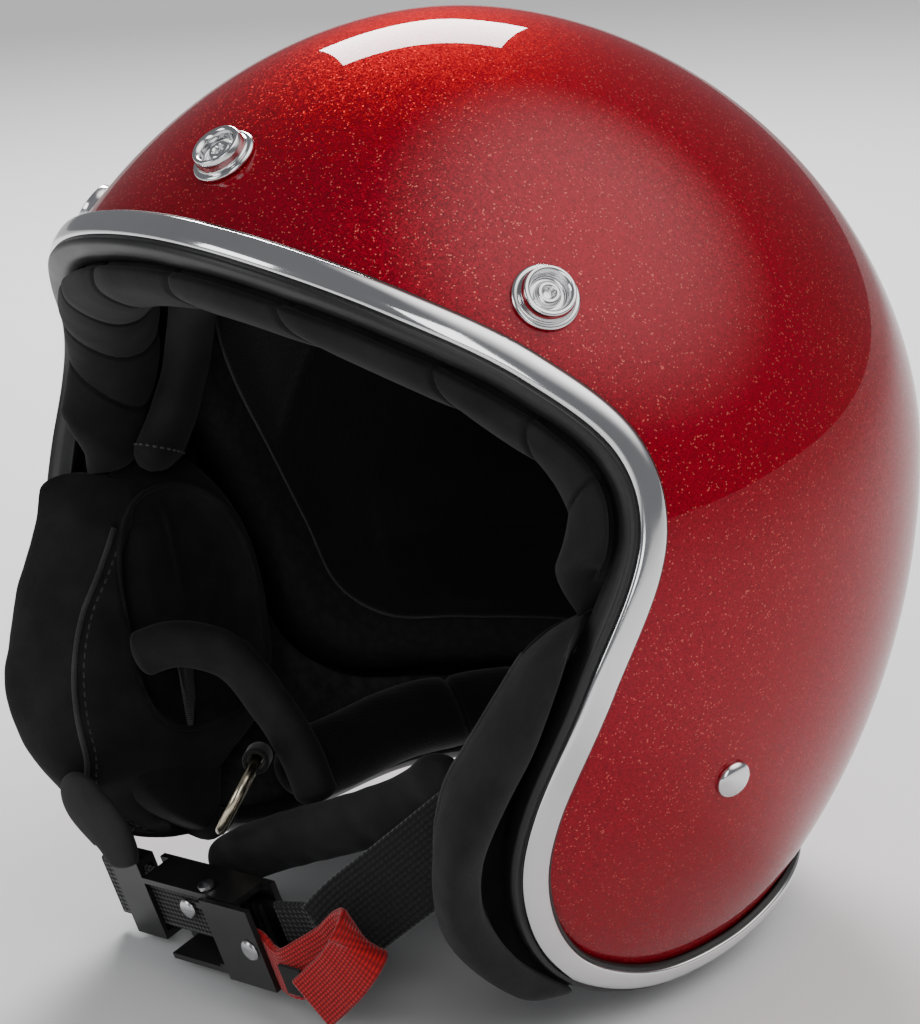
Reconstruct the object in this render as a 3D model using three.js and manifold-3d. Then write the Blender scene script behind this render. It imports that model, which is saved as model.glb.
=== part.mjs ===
// Open-face motorcycle helmet: a painted shell with a plated edge trim, a padded lining and a
// quick-release chin strap.
// Millimetres, +Z up. The face opening looks towards -Y and the wearer's left is +X.
// The origin is the middle of the neck opening, level with the underside of the edge trim.
import * as THREE from "three";
import { mergeVertices } from "three/addons/utils/BufferGeometryUtils.js";
import Module from "manifold-3d";

const wasm = await Module();
wasm.setup();

// ---- Driving dimensions ------------------------------------------------------------------

// Outer shell, measured from the centre point on its widest level
const HALF_WIDTH = 119.7;
const FRONT_LENGTH = 132.3;
const BACK_LENGTH = 139.2;
const CROWN_RISE = 127.5;
const CROWN_POWER = 1.86; // 2 would be a plain ellipse
const SIDE_TAPER = 170; // how deep the sides would run before they met below
const BACK_TAPER = 152;
const WIDEST_LEVEL = 126.5;
const SHELL_WALL = 4;

// Edge of the shell as [bearing, elevation] in degrees from the centre point, brow to nape
const SHELL_EDGE = [
  [0, 39.9],
  [20, 38.1],
  [38, 33.4],
  [54, 26],
  [64.5, 16.5],
  [66, 8],
  [59, -9],
  [52.4, -24],
  [50.8, -32.5],
  [52.4, -41],
  [57.5, -48.2],
  [66, -53],
  [78, -56.2],
  [97, -56.8],
  [122, -54.6],
  [150, -53.6],
  [180, -53.6],
];

// Edge trim
const TRIM_WIDTH = 8.8; // how far it reaches back over the paint
const TRIM_GAP = 1; // between the rubber and the shell
const RUBBER_WALL = 1.1;
const CHROME_WIDTH = 7.2;
const CHROME_HEIGHT = 1.6;
const BEAD_DEPTH = 2.2; // rubber standing past the shell's edge

// Linings
const LAYER_GAP = 1.8;
const EPS_WALL = 18;
const CROWN_LINER_WALL = 3.5;
const CROWN_LINER_SET_BACK = 0.07; // share of the way from the foam's edge to the crown's pole
const EPS_EDGE = [
  [0, 52.5],
  [22, 50.5],
  [42, 45],
  [58, 36.5],
  [71, 25],
  [80, 10],
  [90, -10],
  [96, -26],
  [100, -38],
  [110, -44],
  [128, -45.5],
  [152, -45.5],
  [180, -45.5],
];

// Visor press studs, as [name, bearing, elevation]
const VISOR_SNAPS = [
  ["centre", 0, 53],
  ["left", 59.5, 36],
  ["right", -59.5, 36],
];
const SNAP_FLANGE_RADIUS = 8.7;
const SNAP_CUP_RADIUS = 6.35;
const SNAP_CUP_BORE = 4.7;
const SNAP_HEIGHT = 5;
const SNAP_RIVET_RADIUS = 2.3;
const HOLE_CLEARANCE = 0.4;

// Strap anchors
const ANCHOR_BEARING = 81.7;
const ANCHOR_ELEVATION = -26.9;
const ANCHOR_HEAD_RADIUS = 5.2;
const ANCHOR_SHANK_RADIUS = 2.4;
const ANCHOR_PLATE = 18;
const ANCHOR_PLATE_WALL = 1.6;

// Chin strap
const WEBBING_WIDTH = 24;
const WEBBING_WALL = 2.2;
const SLEEVE_RADIUS = 6;
const CHIN_PAD_RADIUS = 8;
const FLAP_WIDTH = 22;
const FLAP_WALL = 4.4;

// Buckle, in its own frame: X along the strap, Y towards the chin, Z across the strap
const BUCKLE_PLACE = [-21, -78.5, 12.5];
const BUCKLE_TILT = 14; // degrees that its face looks down
const BUCKLE_RISE = 8; // degrees that its tongue end rises
const BUCKLE_LENGTH = 50;
const BUCKLE_WIDTH = 27;
const BUCKLE_DEPTH = 12;
const BUCKLE_WALL = 1.8;
const BUCKLE_RIVET_X = -15;
const BUCKLE_RIVET_RADIUS = 1.5;
const TONGUE_WIDTH = 17;
const TONGUE_WALL = 2.4;
const TONGUE_LENGTH = 46;
const TOOTH_PITCH = 3;
const TOOTH_HEIGHT = 1.2;
const LEVER_PIN_RADIUS = 1.5;
const LEVER_PIN_PLACE = [6, -4.3];
const LEVER_LENGTH = 20.5;
const LEVER_WALL = 1.6;
const SPRING_RADIUS = 2.4;
const SPRING_WIRE = 0.45;
const SPRING_TURNS = 4;
const SPRING_LENGTH = 9;
const TAB_RIVET_X = 23.5;
const TAB_WIDTH = 16;
const TAB_WALL = 2.2;
const SLIDER_X = -38;
const SLIDER_LENGTH = 14;
const SLIDER_DEPTH = 6.4;

// Lock ring
const RING_RADIUS = 11.5;
const RING_WIRE = 1.5;
const RING_TOP = [-22, -61, 54];
const RING_HANG = [-0.34, -0.34, -0.875];
const RING_FACE = [0.68, 0.5, -0.46];

// Facets
const EDGE_STEPS = 72;
const SHELL_ROWS = 8;
const LINING_STEPS = 44;
const LINING_ROWS = 6;

// ---- Shell surface -----------------------------------------------------------------------

const CENTRE = new THREE.Vector3(0, 0, WIDEST_LEVEL);
const POLE = bearing(180, 25); // from here every point of the edges is in sight along the shell

function bearing(azimuth, elevation) {
  const a = THREE.MathUtils.degToRad(azimuth);
  const e = THREE.MathUtils.degToRad(elevation);
  return new THREE.Vector3(Math.sin(a) * Math.cos(e), -Math.cos(a) * Math.cos(e), Math.sin(e));
}

// Distance from the centre point to the shell's surface, moved in by inset.
function reach(direction, inset) {
  const length = (direction.y < 0 ? FRONT_LENGTH : BACK_LENGTH) - inset;
  const spread = Math.hypot(direction.x / (HALF_WIDTH - inset), direction.y / length);
  if (direction.z >= 0) {
    const rise = direction.z / (CROWN_RISE - inset);
    return (spread ** CROWN_POWER + rise ** CROWN_POWER) ** (-1 / CROWN_POWER);
  }
  const back = Math.max(direction.y, 0) / length / spread;
  const taper = THREE.MathUtils.lerp(SIDE_TAPER, BACK_TAPER, back ** 2) - inset;
  return 1 / Math.hypot(spread, direction.z / taper);
}

function onShell(direction, inset = 0) {
  return direction.clone().multiplyScalar(reach(direction, inset)).add(CENTRE);
}

function shellNormal(point) {
  const step = 0.05;
  const level = (q) => {
    const d = q.clone().sub(CENTRE);
    return d.length() / reach(d.clone().normalize(), 0);
  };
  const slope = ["x", "y", "z"].map((axis) => {
    const ahead = point.clone();
    const behind = point.clone();
    ahead[axis] += step;
    behind[axis] -= step;
    return level(ahead) - level(behind);
  });
  return new THREE.Vector3(...slope).normalize();
}

// A closed loop of directions through an edge's points and their mirror images.
function edgeLoop(angles, steps) {
  const left = angles.map(([a, e]) => onShell(bearing(a, e)));
  const right = left.slice(1, -1).reverse().map((p) => new THREE.Vector3(-p.x, p.y, p.z));
  const curve = new THREE.CatmullRomCurve3([...left, ...right], true);
  const points = curve.getSpacedPoints(steps).slice(0, steps);
  return points.map((p) => p.sub(CENTRE).normalize());
}

const EDGE = new THREE.CatmullRomCurve3(
  edgeLoop(SHELL_EDGE, 144).map((d) => onShell(d)),
  true,
);

// The shell's edge at a share of its length, brow centre 0, left cheek, nape 0.5, right cheek:
// its place, the way out of the shell and the way past the edge.
function edgeFrame(share) {
  const u = ((share % 1) + 1) % 1;
  const place = onShell(EDGE.getPointAt(u).sub(CENTRE).normalize());
  const out = shellNormal(place);
  const past = new THREE.Vector3().crossVectors(EDGE.getTangentAt(u), out).normalize();
  if (past.dot(POLE) > 0) past.negate();
  return { place, out, past };
}

function fromEdge(frame, out, past) {
  return frame.place
    .clone()
    .addScaledVector(frame.out, out)
    .addScaledVector(frame.past, past);
}

// Share of the edge's length at which its front run comes down to a level.
function edgeShare(level) {
  let high = 0;
  let low = 0.34;
  for (let i = 0; i < 40; i++) {
    const middle = (high + low) / 2;
    if (EDGE.getPointAt(middle).z > level) high = middle;
    else low = middle;
  }
  return high;
}

// ---- Solids ------------------------------------------------------------------------------

// A closed solid through rings of points. Without looped, its two ends are closed by fans.
function loft(rings, { looped = false, first, last } = {}) {
  const count = rings[0].length;
  const points = rings.flat();
  const faces = [];
  const strips = looped ? rings.length : rings.length - 1;
  for (let r = 0; r < strips; r++) {
    const here = r * count;
    const next = ((r + 1) % rings.length) * count;
    for (let k = 0; k < count; k++) {
      const turn = (k + 1) % count;
      faces.push(here + k, here + turn, next + turn, here + k, next + turn, next + k);
    }
  }
  if (!looped) {
    points.push(first ?? middleOf(rings[0]), last ?? middleOf(rings.at(-1)));
    const end = (rings.length - 1) * count;
    for (let k = 0; k < count; k++) {
      const turn = (k + 1) % count;
      faces.push(points.length - 2, turn, k);
      faces.push(points.length - 1, end + k, end + turn);
    }
  }
  return facingOut(points, faces);
}

function middleOf(points) {
  return points.reduce((sum, p) => sum.add(p), new THREE.Vector3()).divideScalar(points.length);
}

function facingOut(points, faces) {
  let volume = 0;
  for (let i = 0; i < faces.length; i += 3) {
    const [a, b, c] = [faces[i], faces[i + 1], faces[i + 2]].map((k) => points[k]);
    volume += a.dot(new THREE.Vector3().crossVectors(b, c));
  }
  if (volume < 0) faces.reverse();
  const geometry = new THREE.BufferGeometry().setFromPoints(points);
  geometry.setIndex(faces);
  return geometry;
}

// A layer of the helmet between two insets, inside an edge.
function layer(edge, outerInset, innerInset, rows) {
  const surface = (inset) => {
    const rings = [];
    for (let r = 0; r < rows; r++) {
      rings.push(edge.map((d) => onShell(between(d, POLE, (r / rows) ** 1.15), inset)));
    }
    return rings;
  };
  const rings = [...surface(outerInset).reverse(), ...surface(innerInset)];
  return loft(rings, { first: onShell(POLE, outerInset), last: onShell(POLE, innerInset) });
}

function between(a, b, share) {
  const angle = a.angleTo(b);
  const from = Math.sin((1 - share) * angle);
  const to = Math.sin(share * angle);
  return a.clone().multiplyScalar(from).addScaledVector(b, to).normalize();
}

// A trim of one section, given as [out, past] points, all the way round the shell's edge.
function edgeTrim(section) {
  const rings = [];
  for (let i = 0; i < EDGE_STEPS; i++) {
    const frame = edgeFrame(i / EDGE_STEPS);
    rings.push(section.map(([out, past]) => fromEdge(frame, out, past)));
  }
  return loft(rings, { looped: true });
}

// A padded roll along the edge. at(share) gives its middle and its radii, all from the edge.
function edgeRoll(start, end, steps, sides, at) {
  const rings = [];
  for (let i = 0; i <= steps; i++) {
    const share = i / steps;
    const frame = edgeFrame(start + (end - start) * share);
    const { out, past, thick, wide } = at(share);
    const round = roundEnd(share, steps);
    const ring = [];
    for (let k = 0; k < sides; k++) {
      const turn = (2 * Math.PI * k) / sides;
      const o = out + thick * round * Math.cos(turn);
      const p = past + wide * round * Math.sin(turn);
      ring.push(fromEdge(frame, o, p));
    }
    rings.push(ring);
  }
  return loft(rings);
}

// Shrinks the first and last two rings, which rounds a roll's ends.
function roundEnd(share, steps) {
  const fromTip = Math.min(share, 1 - share) * steps;
  return fromTip < 0.5 ? 0.45 : fromTip < 1.5 ? 0.85 : 1;
}

// A strip or a round roll along a path, with one direction across it at each point.
function ribbon(path, across, width, wall, { steps = 12, sides = 4, rounded = false } = {}) {
  const curve = new THREE.CatmullRomCurve3(path.map((p) => new THREE.Vector3(...p)));
  const rings = [];
  for (let i = 0; i <= steps; i++) {
    const share = i / steps;
    const place = curve.getPoint(share);
    const along = curve.getTangent(share);
    const leg = share * (across.length - 1);
    const from = Math.min(Math.floor(leg), across.length - 2);
    const wide = new THREE.Vector3(...across[from])
      .lerp(new THREE.Vector3(...across[from + 1]), leg - from)
      .projectOnPlane(along)
      .normalize();
    const thick = new THREE.Vector3().crossVectors(along, wide);
    const scale = rounded ? roundEnd(share, steps) : 1;
    const ring = [];
    for (let k = 0; k < sides; k++) {
      const turn = (2 * Math.PI * (k + 0.5)) / sides;
      const reachOut = sides === 4 ? Math.SQRT2 : 1;
      const w = (Math.cos(turn) * reachOut * scale * width) / 2;
      const t = (Math.sin(turn) * reachOut * scale * wall) / 2;
      ring.push(place.clone().addScaledVector(wide, w).addScaledVector(thick, t));
    }
    rings.push(ring);
  }
  return loft(rings);
}

function turned(profile, segments = 20) {
  const points = profile.map(([radius, height]) => new THREE.Vector2(radius, height));
  const geometry = new THREE.LatheGeometry(points, segments);
  return facingOutAgain(geometry);
}

// Welds a three.js geometry and turns its faces out.
function facingOutAgain(geometry) {
  const bare = geometry.clone();
  for (const name of Object.keys(bare.attributes)) {
    if (name !== "position") bare.deleteAttribute(name);
  }
  const welded = mergeVertices(bare, 1e-4);
  const position = welded.attributes.position;
  const points = [];
  for (let i = 0; i < position.count; i++) {
    points.push(new THREE.Vector3().fromBufferAttribute(position, i));
  }
  const faces = [];
  const index = welded.index.array;
  for (let i = 0; i < index.length; i += 3) {
    const [a, b, c] = [index[i], index[i + 1], index[i + 2]];
    if (a !== b && b !== c && c !== a) faces.push(a, b, c);
  }
  return facingOut(points, faces);
}

function box(x, y, z, place = [0, 0, 0]) {
  return new THREE.BoxGeometry(x, y, z).translate(...place);
}

function rod(radius, length, axis, place = [0, 0, 0], segments = 16) {
  const geometry = new THREE.CylinderGeometry(radius, radius, length, segments);
  if (axis === "x") geometry.rotateZ(Math.PI / 2);
  if (axis === "z") geometry.rotateX(Math.PI / 2);
  return geometry.translate(...place);
}

function toSolid(geometry) {
  const { attributes, index } = facingOutAgain(geometry);
  const mesh = new wasm.Mesh({
    numProp: 3,
    vertProperties: new Float32Array(attributes.position.array),
    triVerts: new Uint32Array(index.array),
  });
  return new wasm.Manifold(mesh);
}

function toGeometry(solid) {
  const mesh = solid.getMesh();
  const geometry = new THREE.BufferGeometry();
  geometry.setAttribute("position", new THREE.BufferAttribute(mesh.vertProperties, 3));
  geometry.setIndex(new THREE.BufferAttribute(mesh.triVerts, 1));
  return geometry;
}

function join(...geometries) {
  const solids = geometries.map(toSolid);
  return toGeometry(solids.reduce((a, b) => a.add(b)));
}

function cut(geometry, ...tools) {
  return toGeometry(tools.map(toSolid).reduce((a, b) => a.subtract(b), toSolid(geometry)));
}

// ---- The helmet --------------------------------------------------------------------------

const helmet = new THREE.Group();

const MATERIALS = {
  paint: { color: 0x9c1420, roughness: 0.18, metalness: 0.35 },
  chrome: { color: 0xd8d9dc, roughness: 0.08, metalness: 1 },
  rubber: { color: 0x17181a, roughness: 0.6, metalness: 0 },
  foam: { color: 0x2a2a2c, roughness: 0.95, metalness: 0 },
  fabric: { color: 0x1c1c1e, roughness: 0.95, metalness: 0 },
  suede: { color: 0x303033, roughness: 0.95, metalness: 0 },
  webbing: { color: 0x141416, roughness: 0.85, metalness: 0 },
  plastic: { color: 0x101113, roughness: 0.45, metalness: 0 },
  steel: { color: 0xa8a9ab, roughness: 0.3, metalness: 1 },
  brass: { color: 0x9a7b45, roughness: 0.3, metalness: 1 },
  red_fabric: { color: 0xb3161c, roughness: 0.9, metalness: 0 },
};

function add(name, geometry, finish, parent = helmet) {
  geometry.computeVertexNormals();
  const mesh = new THREE.Mesh(geometry, new THREE.MeshStandardMaterial(MATERIALS[finish]));
  mesh.name = name;
  parent.add(mesh);
  return mesh;
}

// A group that stands on the shell, with its own Z pointing out of it.
function standing(azimuth, elevation) {
  const group = new THREE.Group();
  group.position.copy(onShell(bearing(azimuth, elevation)));
  const up = new THREE.Vector3(0, 0, 1);
  group.quaternion.setFromUnitVectors(up, shellNormal(group.position));
  helmet.add(group);
  group.updateMatrixWorld(true);
  return group;
}

// A cylinder along a standing group's axis, as a cutting tool in the helmet's frame.
function bore(group, radius, from, to, segments = 16) {
  const tool = rod(radius, to - from, "z", [0, 0, (from + to) / 2], segments);
  return tool.applyMatrix4(group.matrixWorld);
}

const snapSeats = VISOR_SNAPS.map(([name, a, e]) => [name, standing(a, e)]);
const anchorSeats = [
  ["left", standing(ANCHOR_BEARING, ANCHOR_ELEVATION)],
  ["right", standing(-ANCHOR_BEARING, ANCHOR_ELEVATION)],
];

function makeShell() {
  const edge = [];
  for (let i = 0; i < EDGE_STEPS; i++) {
    edge.push(edgeFrame(i / EDGE_STEPS).place.sub(CENTRE).normalize());
  }
  const holes = [
    ...snapSeats.map(([, seat]) => bore(seat, SNAP_RIVET_RADIUS + HOLE_CLEARANCE, -12, 6)),
    ...anchorSeats.map(([, seat]) => bore(seat, ANCHOR_SHANK_RADIUS + HOLE_CLEARANCE, -12, 6)),
  ];
  add("outer_shell", cut(layer(edge, 0, SHELL_WALL, SHELL_ROWS), ...holes), "paint");
}

function makeTrims() {
  const lip = TRIM_GAP + RUBBER_WALL;
  const inner = -SHELL_WALL - TRIM_GAP;
  const rubber = [
    [TRIM_GAP, -TRIM_WIDTH],
    [lip, -TRIM_WIDTH + 0.5],
    [lip, -0.6],
    [lip + 0.6, 0.4],
    [lip - 0.3, BEAD_DEPTH - 0.4],
    [-SHELL_WALL / 2, BEAD_DEPTH + 0.3],
    [inner - RUBBER_WALL, BEAD_DEPTH - 0.8],
    [inner - RUBBER_WALL, -3.5],
    [inner, -3.5],
    [inner, TRIM_GAP],
    [TRIM_GAP, TRIM_GAP],
  ];
  add("edge_rubber", edgeTrim(rubber), "rubber");
  const seat = lip + 0.3;
  const middle = -TRIM_WIDTH + 0.7 + CHROME_WIDTH / 2;
  const chrome = [[seat, middle - CHROME_WIDTH / 2]];
  for (let i = 1; i < 5; i++) {
    const turn = (Math.PI * i) / 5;
    const height = seat + CHROME_HEIGHT * Math.sin(turn);
    chrome.push([height, middle - (CHROME_WIDTH / 2) * Math.cos(turn)]);
  }
  chrome.push([seat, middle + CHROME_WIDTH / 2]);
  add("edge_chrome", edgeTrim(chrome), "chrome");
}

const EPS_OUTER = SHELL_WALL + LAYER_GAP;
const EPS_INNER = EPS_OUTER + EPS_WALL;
const LINER_OUTER = EPS_INNER + LAYER_GAP;
const LINER_INNER = LINER_OUTER + CROWN_LINER_WALL;

function makeLinings() {
  const edge = edgeLoop(EPS_EDGE, LINING_STEPS);
  const pockets = snapSeats.map(([, seat]) => bore(seat, 8, -10, 0, 12));
  const eps = layer(edge, EPS_OUTER, EPS_INNER, LINING_ROWS);
  add("impact_liner", cut(eps, ...pockets), "foam");
  const set = edge.map((d) => between(d, POLE, CROWN_LINER_SET_BACK));
  add("crown_liner", layer(set, LINER_OUTER, LINER_INNER, LINING_ROWS), "fabric");
}

// Section of the brow pad as [out, past] points, at its temple ends and at its middle
const BROW_TEMPLE = [
  [-7, -9],
  [-6.9, 2.8],
  [-4.5, 4],
  [-2.6, 6],
  [-3.8, 10.5],
  [-8.5, 13],
  [-15, 10.5],
  [-19.4, 3.5],
  [-19.6, -6],
  [-13, -11],
];
const BROW_MIDDLE = [
  [-7, -13],
  [-6.9, 2.6],
  [-4.7, 3.9],
  [-4, 5.5],
  [-7.5, 8],
  [-16, 7],
  [-25.5, 2.5],
  [-29.5, -4.5],
  [-27.5, -13.5],
  [-17, -17],
];
const TEMPLE_LEVEL = 127; // at which the brow pad meets the cheek pads
const BROW_SLANT = 0.0008; // share of the edge that its ends lean by for each mm inwards
const BROW_STEPS = 28;

// The brow pad follows the edge, and its ends are cut on a slant down to the cheek pads.
function browPad(temple) {
  const rings = [];
  for (let i = 0; i <= BROW_STEPS; i++) {
    const share = i / BROW_STEPS;
    const weight = towardsMiddle(share);
    const section = BROW_TEMPLE.map(([out, past], k) => [
      THREE.MathUtils.lerp(out, BROW_MIDDLE[k][0], weight),
      THREE.MathUtils.lerp(past, BROW_MIDDLE[k][1], weight),
    ]);
    const round = roundEnd(share, BROW_STEPS);
    const centre = [0, 1].map((n) => section.reduce((sum, p) => sum + p[n] / section.length, 0));
    rings.push(
      section.map(([out, past]) => {
        const half = temple - BROW_SLANT * (out - centre[0]);
        const o = centre[0] + (out - centre[0]) * round;
        const p = centre[1] + (past - centre[1]) * round;
        return fromEdge(edgeFrame((2 * share - 1) * half), o, p);
      }),
    );
  }
  return loft(rings);
}

function towardsMiddle(share) {
  return Math.cos(Math.PI * (share - 0.5)) ** 0.8;
}

function makeRolls() {
  const temple = edgeShare(TEMPLE_LEVEL);
  add("brow_pad", browPad(temple), "suede");
  add(
    "headband_pad",
    edgeRoll(-temple * 1.03, temple * 1.03, 26, 8, (share) => ({
      out: THREE.MathUtils.lerp(-27.6, -38.5, towardsMiddle(share) ** 1.2),
      past: THREE.MathUtils.lerp(-5.5, -22, towardsMiddle(share) ** 1.2),
      thick: 6.3,
      wide: 8.5,
    })),
    "suede",
  );
  const nape = 0.5;
  const reachRound = 0.155;
  add(
    "neck_roll",
    edgeRoll(nape - reachRound, nape + reachRound, 18, 8, () => ({
      out: -17,
      past: -8,
      thick: 9,
      wide: 11,
    })),
    "fabric",
  );
}

// ---- Fittings on the shell ---------------------------------------------------------------

function makeSnaps() {
  const backing = -SHELL_WALL - 0.9;
  for (const [name, seat] of snapSeats) {
    const flange = SNAP_FLANGE_RADIUS;
    const base = turned([
      [SNAP_RIVET_RADIUS + HOLE_CLEARANCE, 0.3],
      [flange, 0.3],
      [flange, 1.1],
      [SNAP_CUP_RADIUS + 0.8, 1.6],
      [SNAP_CUP_RADIUS, SNAP_HEIGHT],
      [SNAP_CUP_BORE, SNAP_HEIGHT],
      [SNAP_CUP_BORE, 1.6],
      [SNAP_RIVET_RADIUS + HOLE_CLEARANCE, 1.6],
      [SNAP_RIVET_RADIUS + HOLE_CLEARANCE, 0.3],
    ]);
    add("snap_socket_" + name, base.rotateX(Math.PI / 2), "chrome", seat);
    const rivet = turned(
      [
        [0, 2.2],
        [1.2, 2.2],
        [1.6, 3.6],
        [3, 3.2],
        [3.4, 2],
        [SNAP_RIVET_RADIUS, 1.9],
        [SNAP_RIVET_RADIUS, backing - 1.5],
        [SNAP_RIVET_RADIUS + 1, backing - 1.7],
        [SNAP_RIVET_RADIUS, backing - 2.6],
        [0, backing - 2.6],
      ],
      14,
    );
    add("snap_rivet_" + name, rivet.rotateX(Math.PI / 2), "chrome", seat);
    const hole = SNAP_RIVET_RADIUS + HOLE_CLEARANCE;
    const washer = turned(
      [
        [hole, backing - 1.3],
        [6, backing - 1.3],
        [6, backing - 0.3],
        [hole, backing - 0.3],
        [hole, backing - 1.3],
      ],
      14,
    );
    add("snap_washer_" + name, washer.rotateX(Math.PI / 2), "steel", seat);
  }
}

function makeAnchors() {
  const inside = -SHELL_WALL - 0.6;
  for (const [name, seat] of anchorSeats) {
    const shank = ANCHOR_SHANK_RADIUS;
    const rivet = turned([
      [0, 2.9],
      [2.2, 2.6],
      [4.2, 1.6],
      [ANCHOR_HEAD_RADIUS, 0.4],
      [shank, 0.4],
      [shank, inside - 5.6],
      [shank + 1.1, inside - 5.8],
      [shank + 0.6, inside - 6.8],
      [0, inside - 6.8],
    ]);
    add("strap_rivet_" + name, rivet.rotateX(Math.PI / 2), "chrome", seat);
    const hole = rod(shank + HOLE_CLEARANCE, 10, "z", [0, 0, inside - 4.5]);
    const plate = box(ANCHOR_PLATE, ANCHOR_PLATE, ANCHOR_PLATE_WALL, [0, 0, inside - 4.5]);
    add("strap_plate_" + name, cut(plate, hole), "steel", seat);
    const end = box(ANCHOR_PLATE, ANCHOR_PLATE, WEBBING_WALL, [0, 0, inside - 2.2]);
    add("strap_end_" + name, cut(end, hole), "webbing", seat);
  }
}

// ---- Cheek and ear pads ------------------------------------------------------------------

// A cheek pad at each level: the place of its inner seam, the place of its front and its tail.
const CHEEK_LEVELS = [
  // level, seam x, seam y, front x, front y, tail y
  [118, 80.9, -55, 102.5, -60, -28],
  [110, 78.7, -61.4, 102.6, -67.5, -18],
  [100, 77, -68.1, 100.4, -75.8, -14],
  [90, 75.6, -75, 97.7, -84, -12],
  [80, 73.1, -80.6, 94.5, -90, -12],
  [72, 72, -83, 92.6, -94.2, -12],
  [64, 71.3, -83.8, 90, -95.8, -12],
  [55, 70.7, -83.3, 87.5, -94.8, -13],
  [47, 70.4, -82.4, 85.5, -92, -16],
  [39, 72.3, -81.8, 84.5, -87, -20],
  [30, 77, -77, 84, -80, -26],
  [22, 78.5, -69, 83, -71.5, -33],
  [15, 79, -60.5, 82.5, -62, -42],
  [10, 80, -53, 82.5, -54, -44],
];
const CHEEK_INSET = 13; // behind the shell, past the anchor and the backing plate
const CHEEK_SIDES = 18;
const CHEEK_TOP_TILT = 0.5; // rise of the top towards the shell, for each mm outwards
const CHEEK_TILT_LEVEL = 76; // below which the levels are flat

function edgeAt(level) {
  return EDGE.getPointAt(edgeShare(level));
}

// Half width of the shell at a level, for a surface moved in by inset.
function halfWidth(y, level, inset) {
  let low = 0;
  let high = HALF_WIDTH;
  for (let i = 0; i < 40; i++) {
    const x = (low + high) / 2;
    const d = new THREE.Vector3(x, y, level).sub(CENTRE);
    const inside = d.length() < reach(d.clone().normalize(), inset);
    if (inside) low = x;
    else high = x;
  }
  return low;
}

function cheekRing([level, seamX, seamY, frontX, frontY, tail], shrink) {
  const edge = edgeAt(level);
  const wall = (y) => halfWidth(y, level, CHEEK_INSET);
  const crease = edge.x - 11.5;
  const inner = seamX - 1.5;
  const outline = [
    [wall(tail), tail],
    [Math.min(wall(edge.y + 12), crease + 4), edge.y + 12],
    [crease, Math.max(edge.y - 1, frontY + 16)],
    [frontX + 1.5, Math.min(edge.y - 5.5, frontY + 9)],
    [frontX, frontY + 1],
    [(frontX + seamX) / 2, (frontY + seamY) / 2 - 2.5],
    [seamX + 1.5, seamY],
    [inner, seamY + 9],
    [inner - 0.5, (seamY + tail) / 2],
    [inner + 1.5, tail],
  ];
  const top = CHEEK_LEVELS[0][0];
  const tilt = CHEEK_TOP_TILT * THREE.MathUtils.smoothstep(level, CHEEK_TILT_LEVEL, top);
  const middleX = (frontX + inner) / 2;
  const points = outline.map(([x, y]) => new THREE.Vector3(x, y, level + tilt * (x - middleX)));
  const ring = new THREE.CatmullRomCurve3(points, true).getSpacedPoints(CHEEK_SIDES);
  ring.pop();
  const middle = middleOf(ring);
  return ring.map((p) => p.sub(middle).multiplyScalar(shrink).add(middle));
}

function mirrored(rings, side) {
  return rings.map((ring) => ring.map((p) => new THREE.Vector3(p.x * side, p.y, p.z)));
}

// A patch of a layer: a grid in bearing and elevation with its corners cut off.
function patch(azimuths, elevations, outer, inner, side) {
  const [a0, a1] = azimuths;
  const [e0, e1] = elevations;
  const outline = [];
  for (let k = 0; k < 16; k++) {
    const turn = (2 * Math.PI * k) / 16;
    const c = Math.cos(turn);
    const s = Math.sin(turn);
    const a = (a0 + a1) / 2 + ((a1 - a0) / 2) * Math.sign(c) * Math.abs(c) ** 0.6;
    const e = (e0 + e1) / 2 + ((e1 - e0) / 2) * Math.sign(s) * Math.abs(s) ** 0.6;
    outline.push([a, e]);
  }
  const middle = bearing((a0 + a1) / 2, (e0 + e1) / 2);
  const ring = (inset, share) =>
    outline.map(([a, e]) => onShell(between(bearing(a, e), middle, 1 - share), inset));
  const depth = inner - outer;
  const rings = [
    ring(outer, 0.5),
    ring(outer, 0.97),
    ring(outer + depth * 0.25, 1),
    ring(inner - depth * 0.35, 0.98),
    ring(inner, 0.85),
    ring(inner, 0.45),
  ];
  const ends = { first: onShell(middle, outer), last: onShell(middle, inner) };
  ends.first.x *= side;
  ends.last.x *= side;
  return loft(mirrored(rings, side), ends);
}

const CHEEK_PLATE_INSET = 9.2;
const CHEEK_PLATE_WALL = 1.8;

function makePads() {
  for (const [name, side] of [
    ["left", 1],
    ["right", -1],
  ]) {
    const rings = CHEEK_LEVELS.map((row, i) => {
      const end = i === 0 || i === CHEEK_LEVELS.length - 1;
      return cheekRing(row, end ? 0.72 : 1);
    });
    const slot = strapRun(side, WEBBING_WIDTH + 2.6, WEBBING_WALL + 2.4, 12);
    add("cheek_pad_" + name, cut(loft(mirrored(rings, side)), slot), "suede");
    const plate = patch(
      [58, 73],
      [-38, -4],
      CHEEK_PLATE_INSET,
      CHEEK_PLATE_INSET + CHEEK_PLATE_WALL,
      side,
    );
    add("cheek_plate_" + name, plate, "plastic");
    add("ear_pad_" + name, patch([83.5, 91], [-42, -20], 11.2, 19, side), "fabric");
  }
}

// ---- Chin strap --------------------------------------------------------------------------

// Where a strap leaves the slot in its cheek pad.
const STRAP_EXIT = [61, -56, 57];

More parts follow.
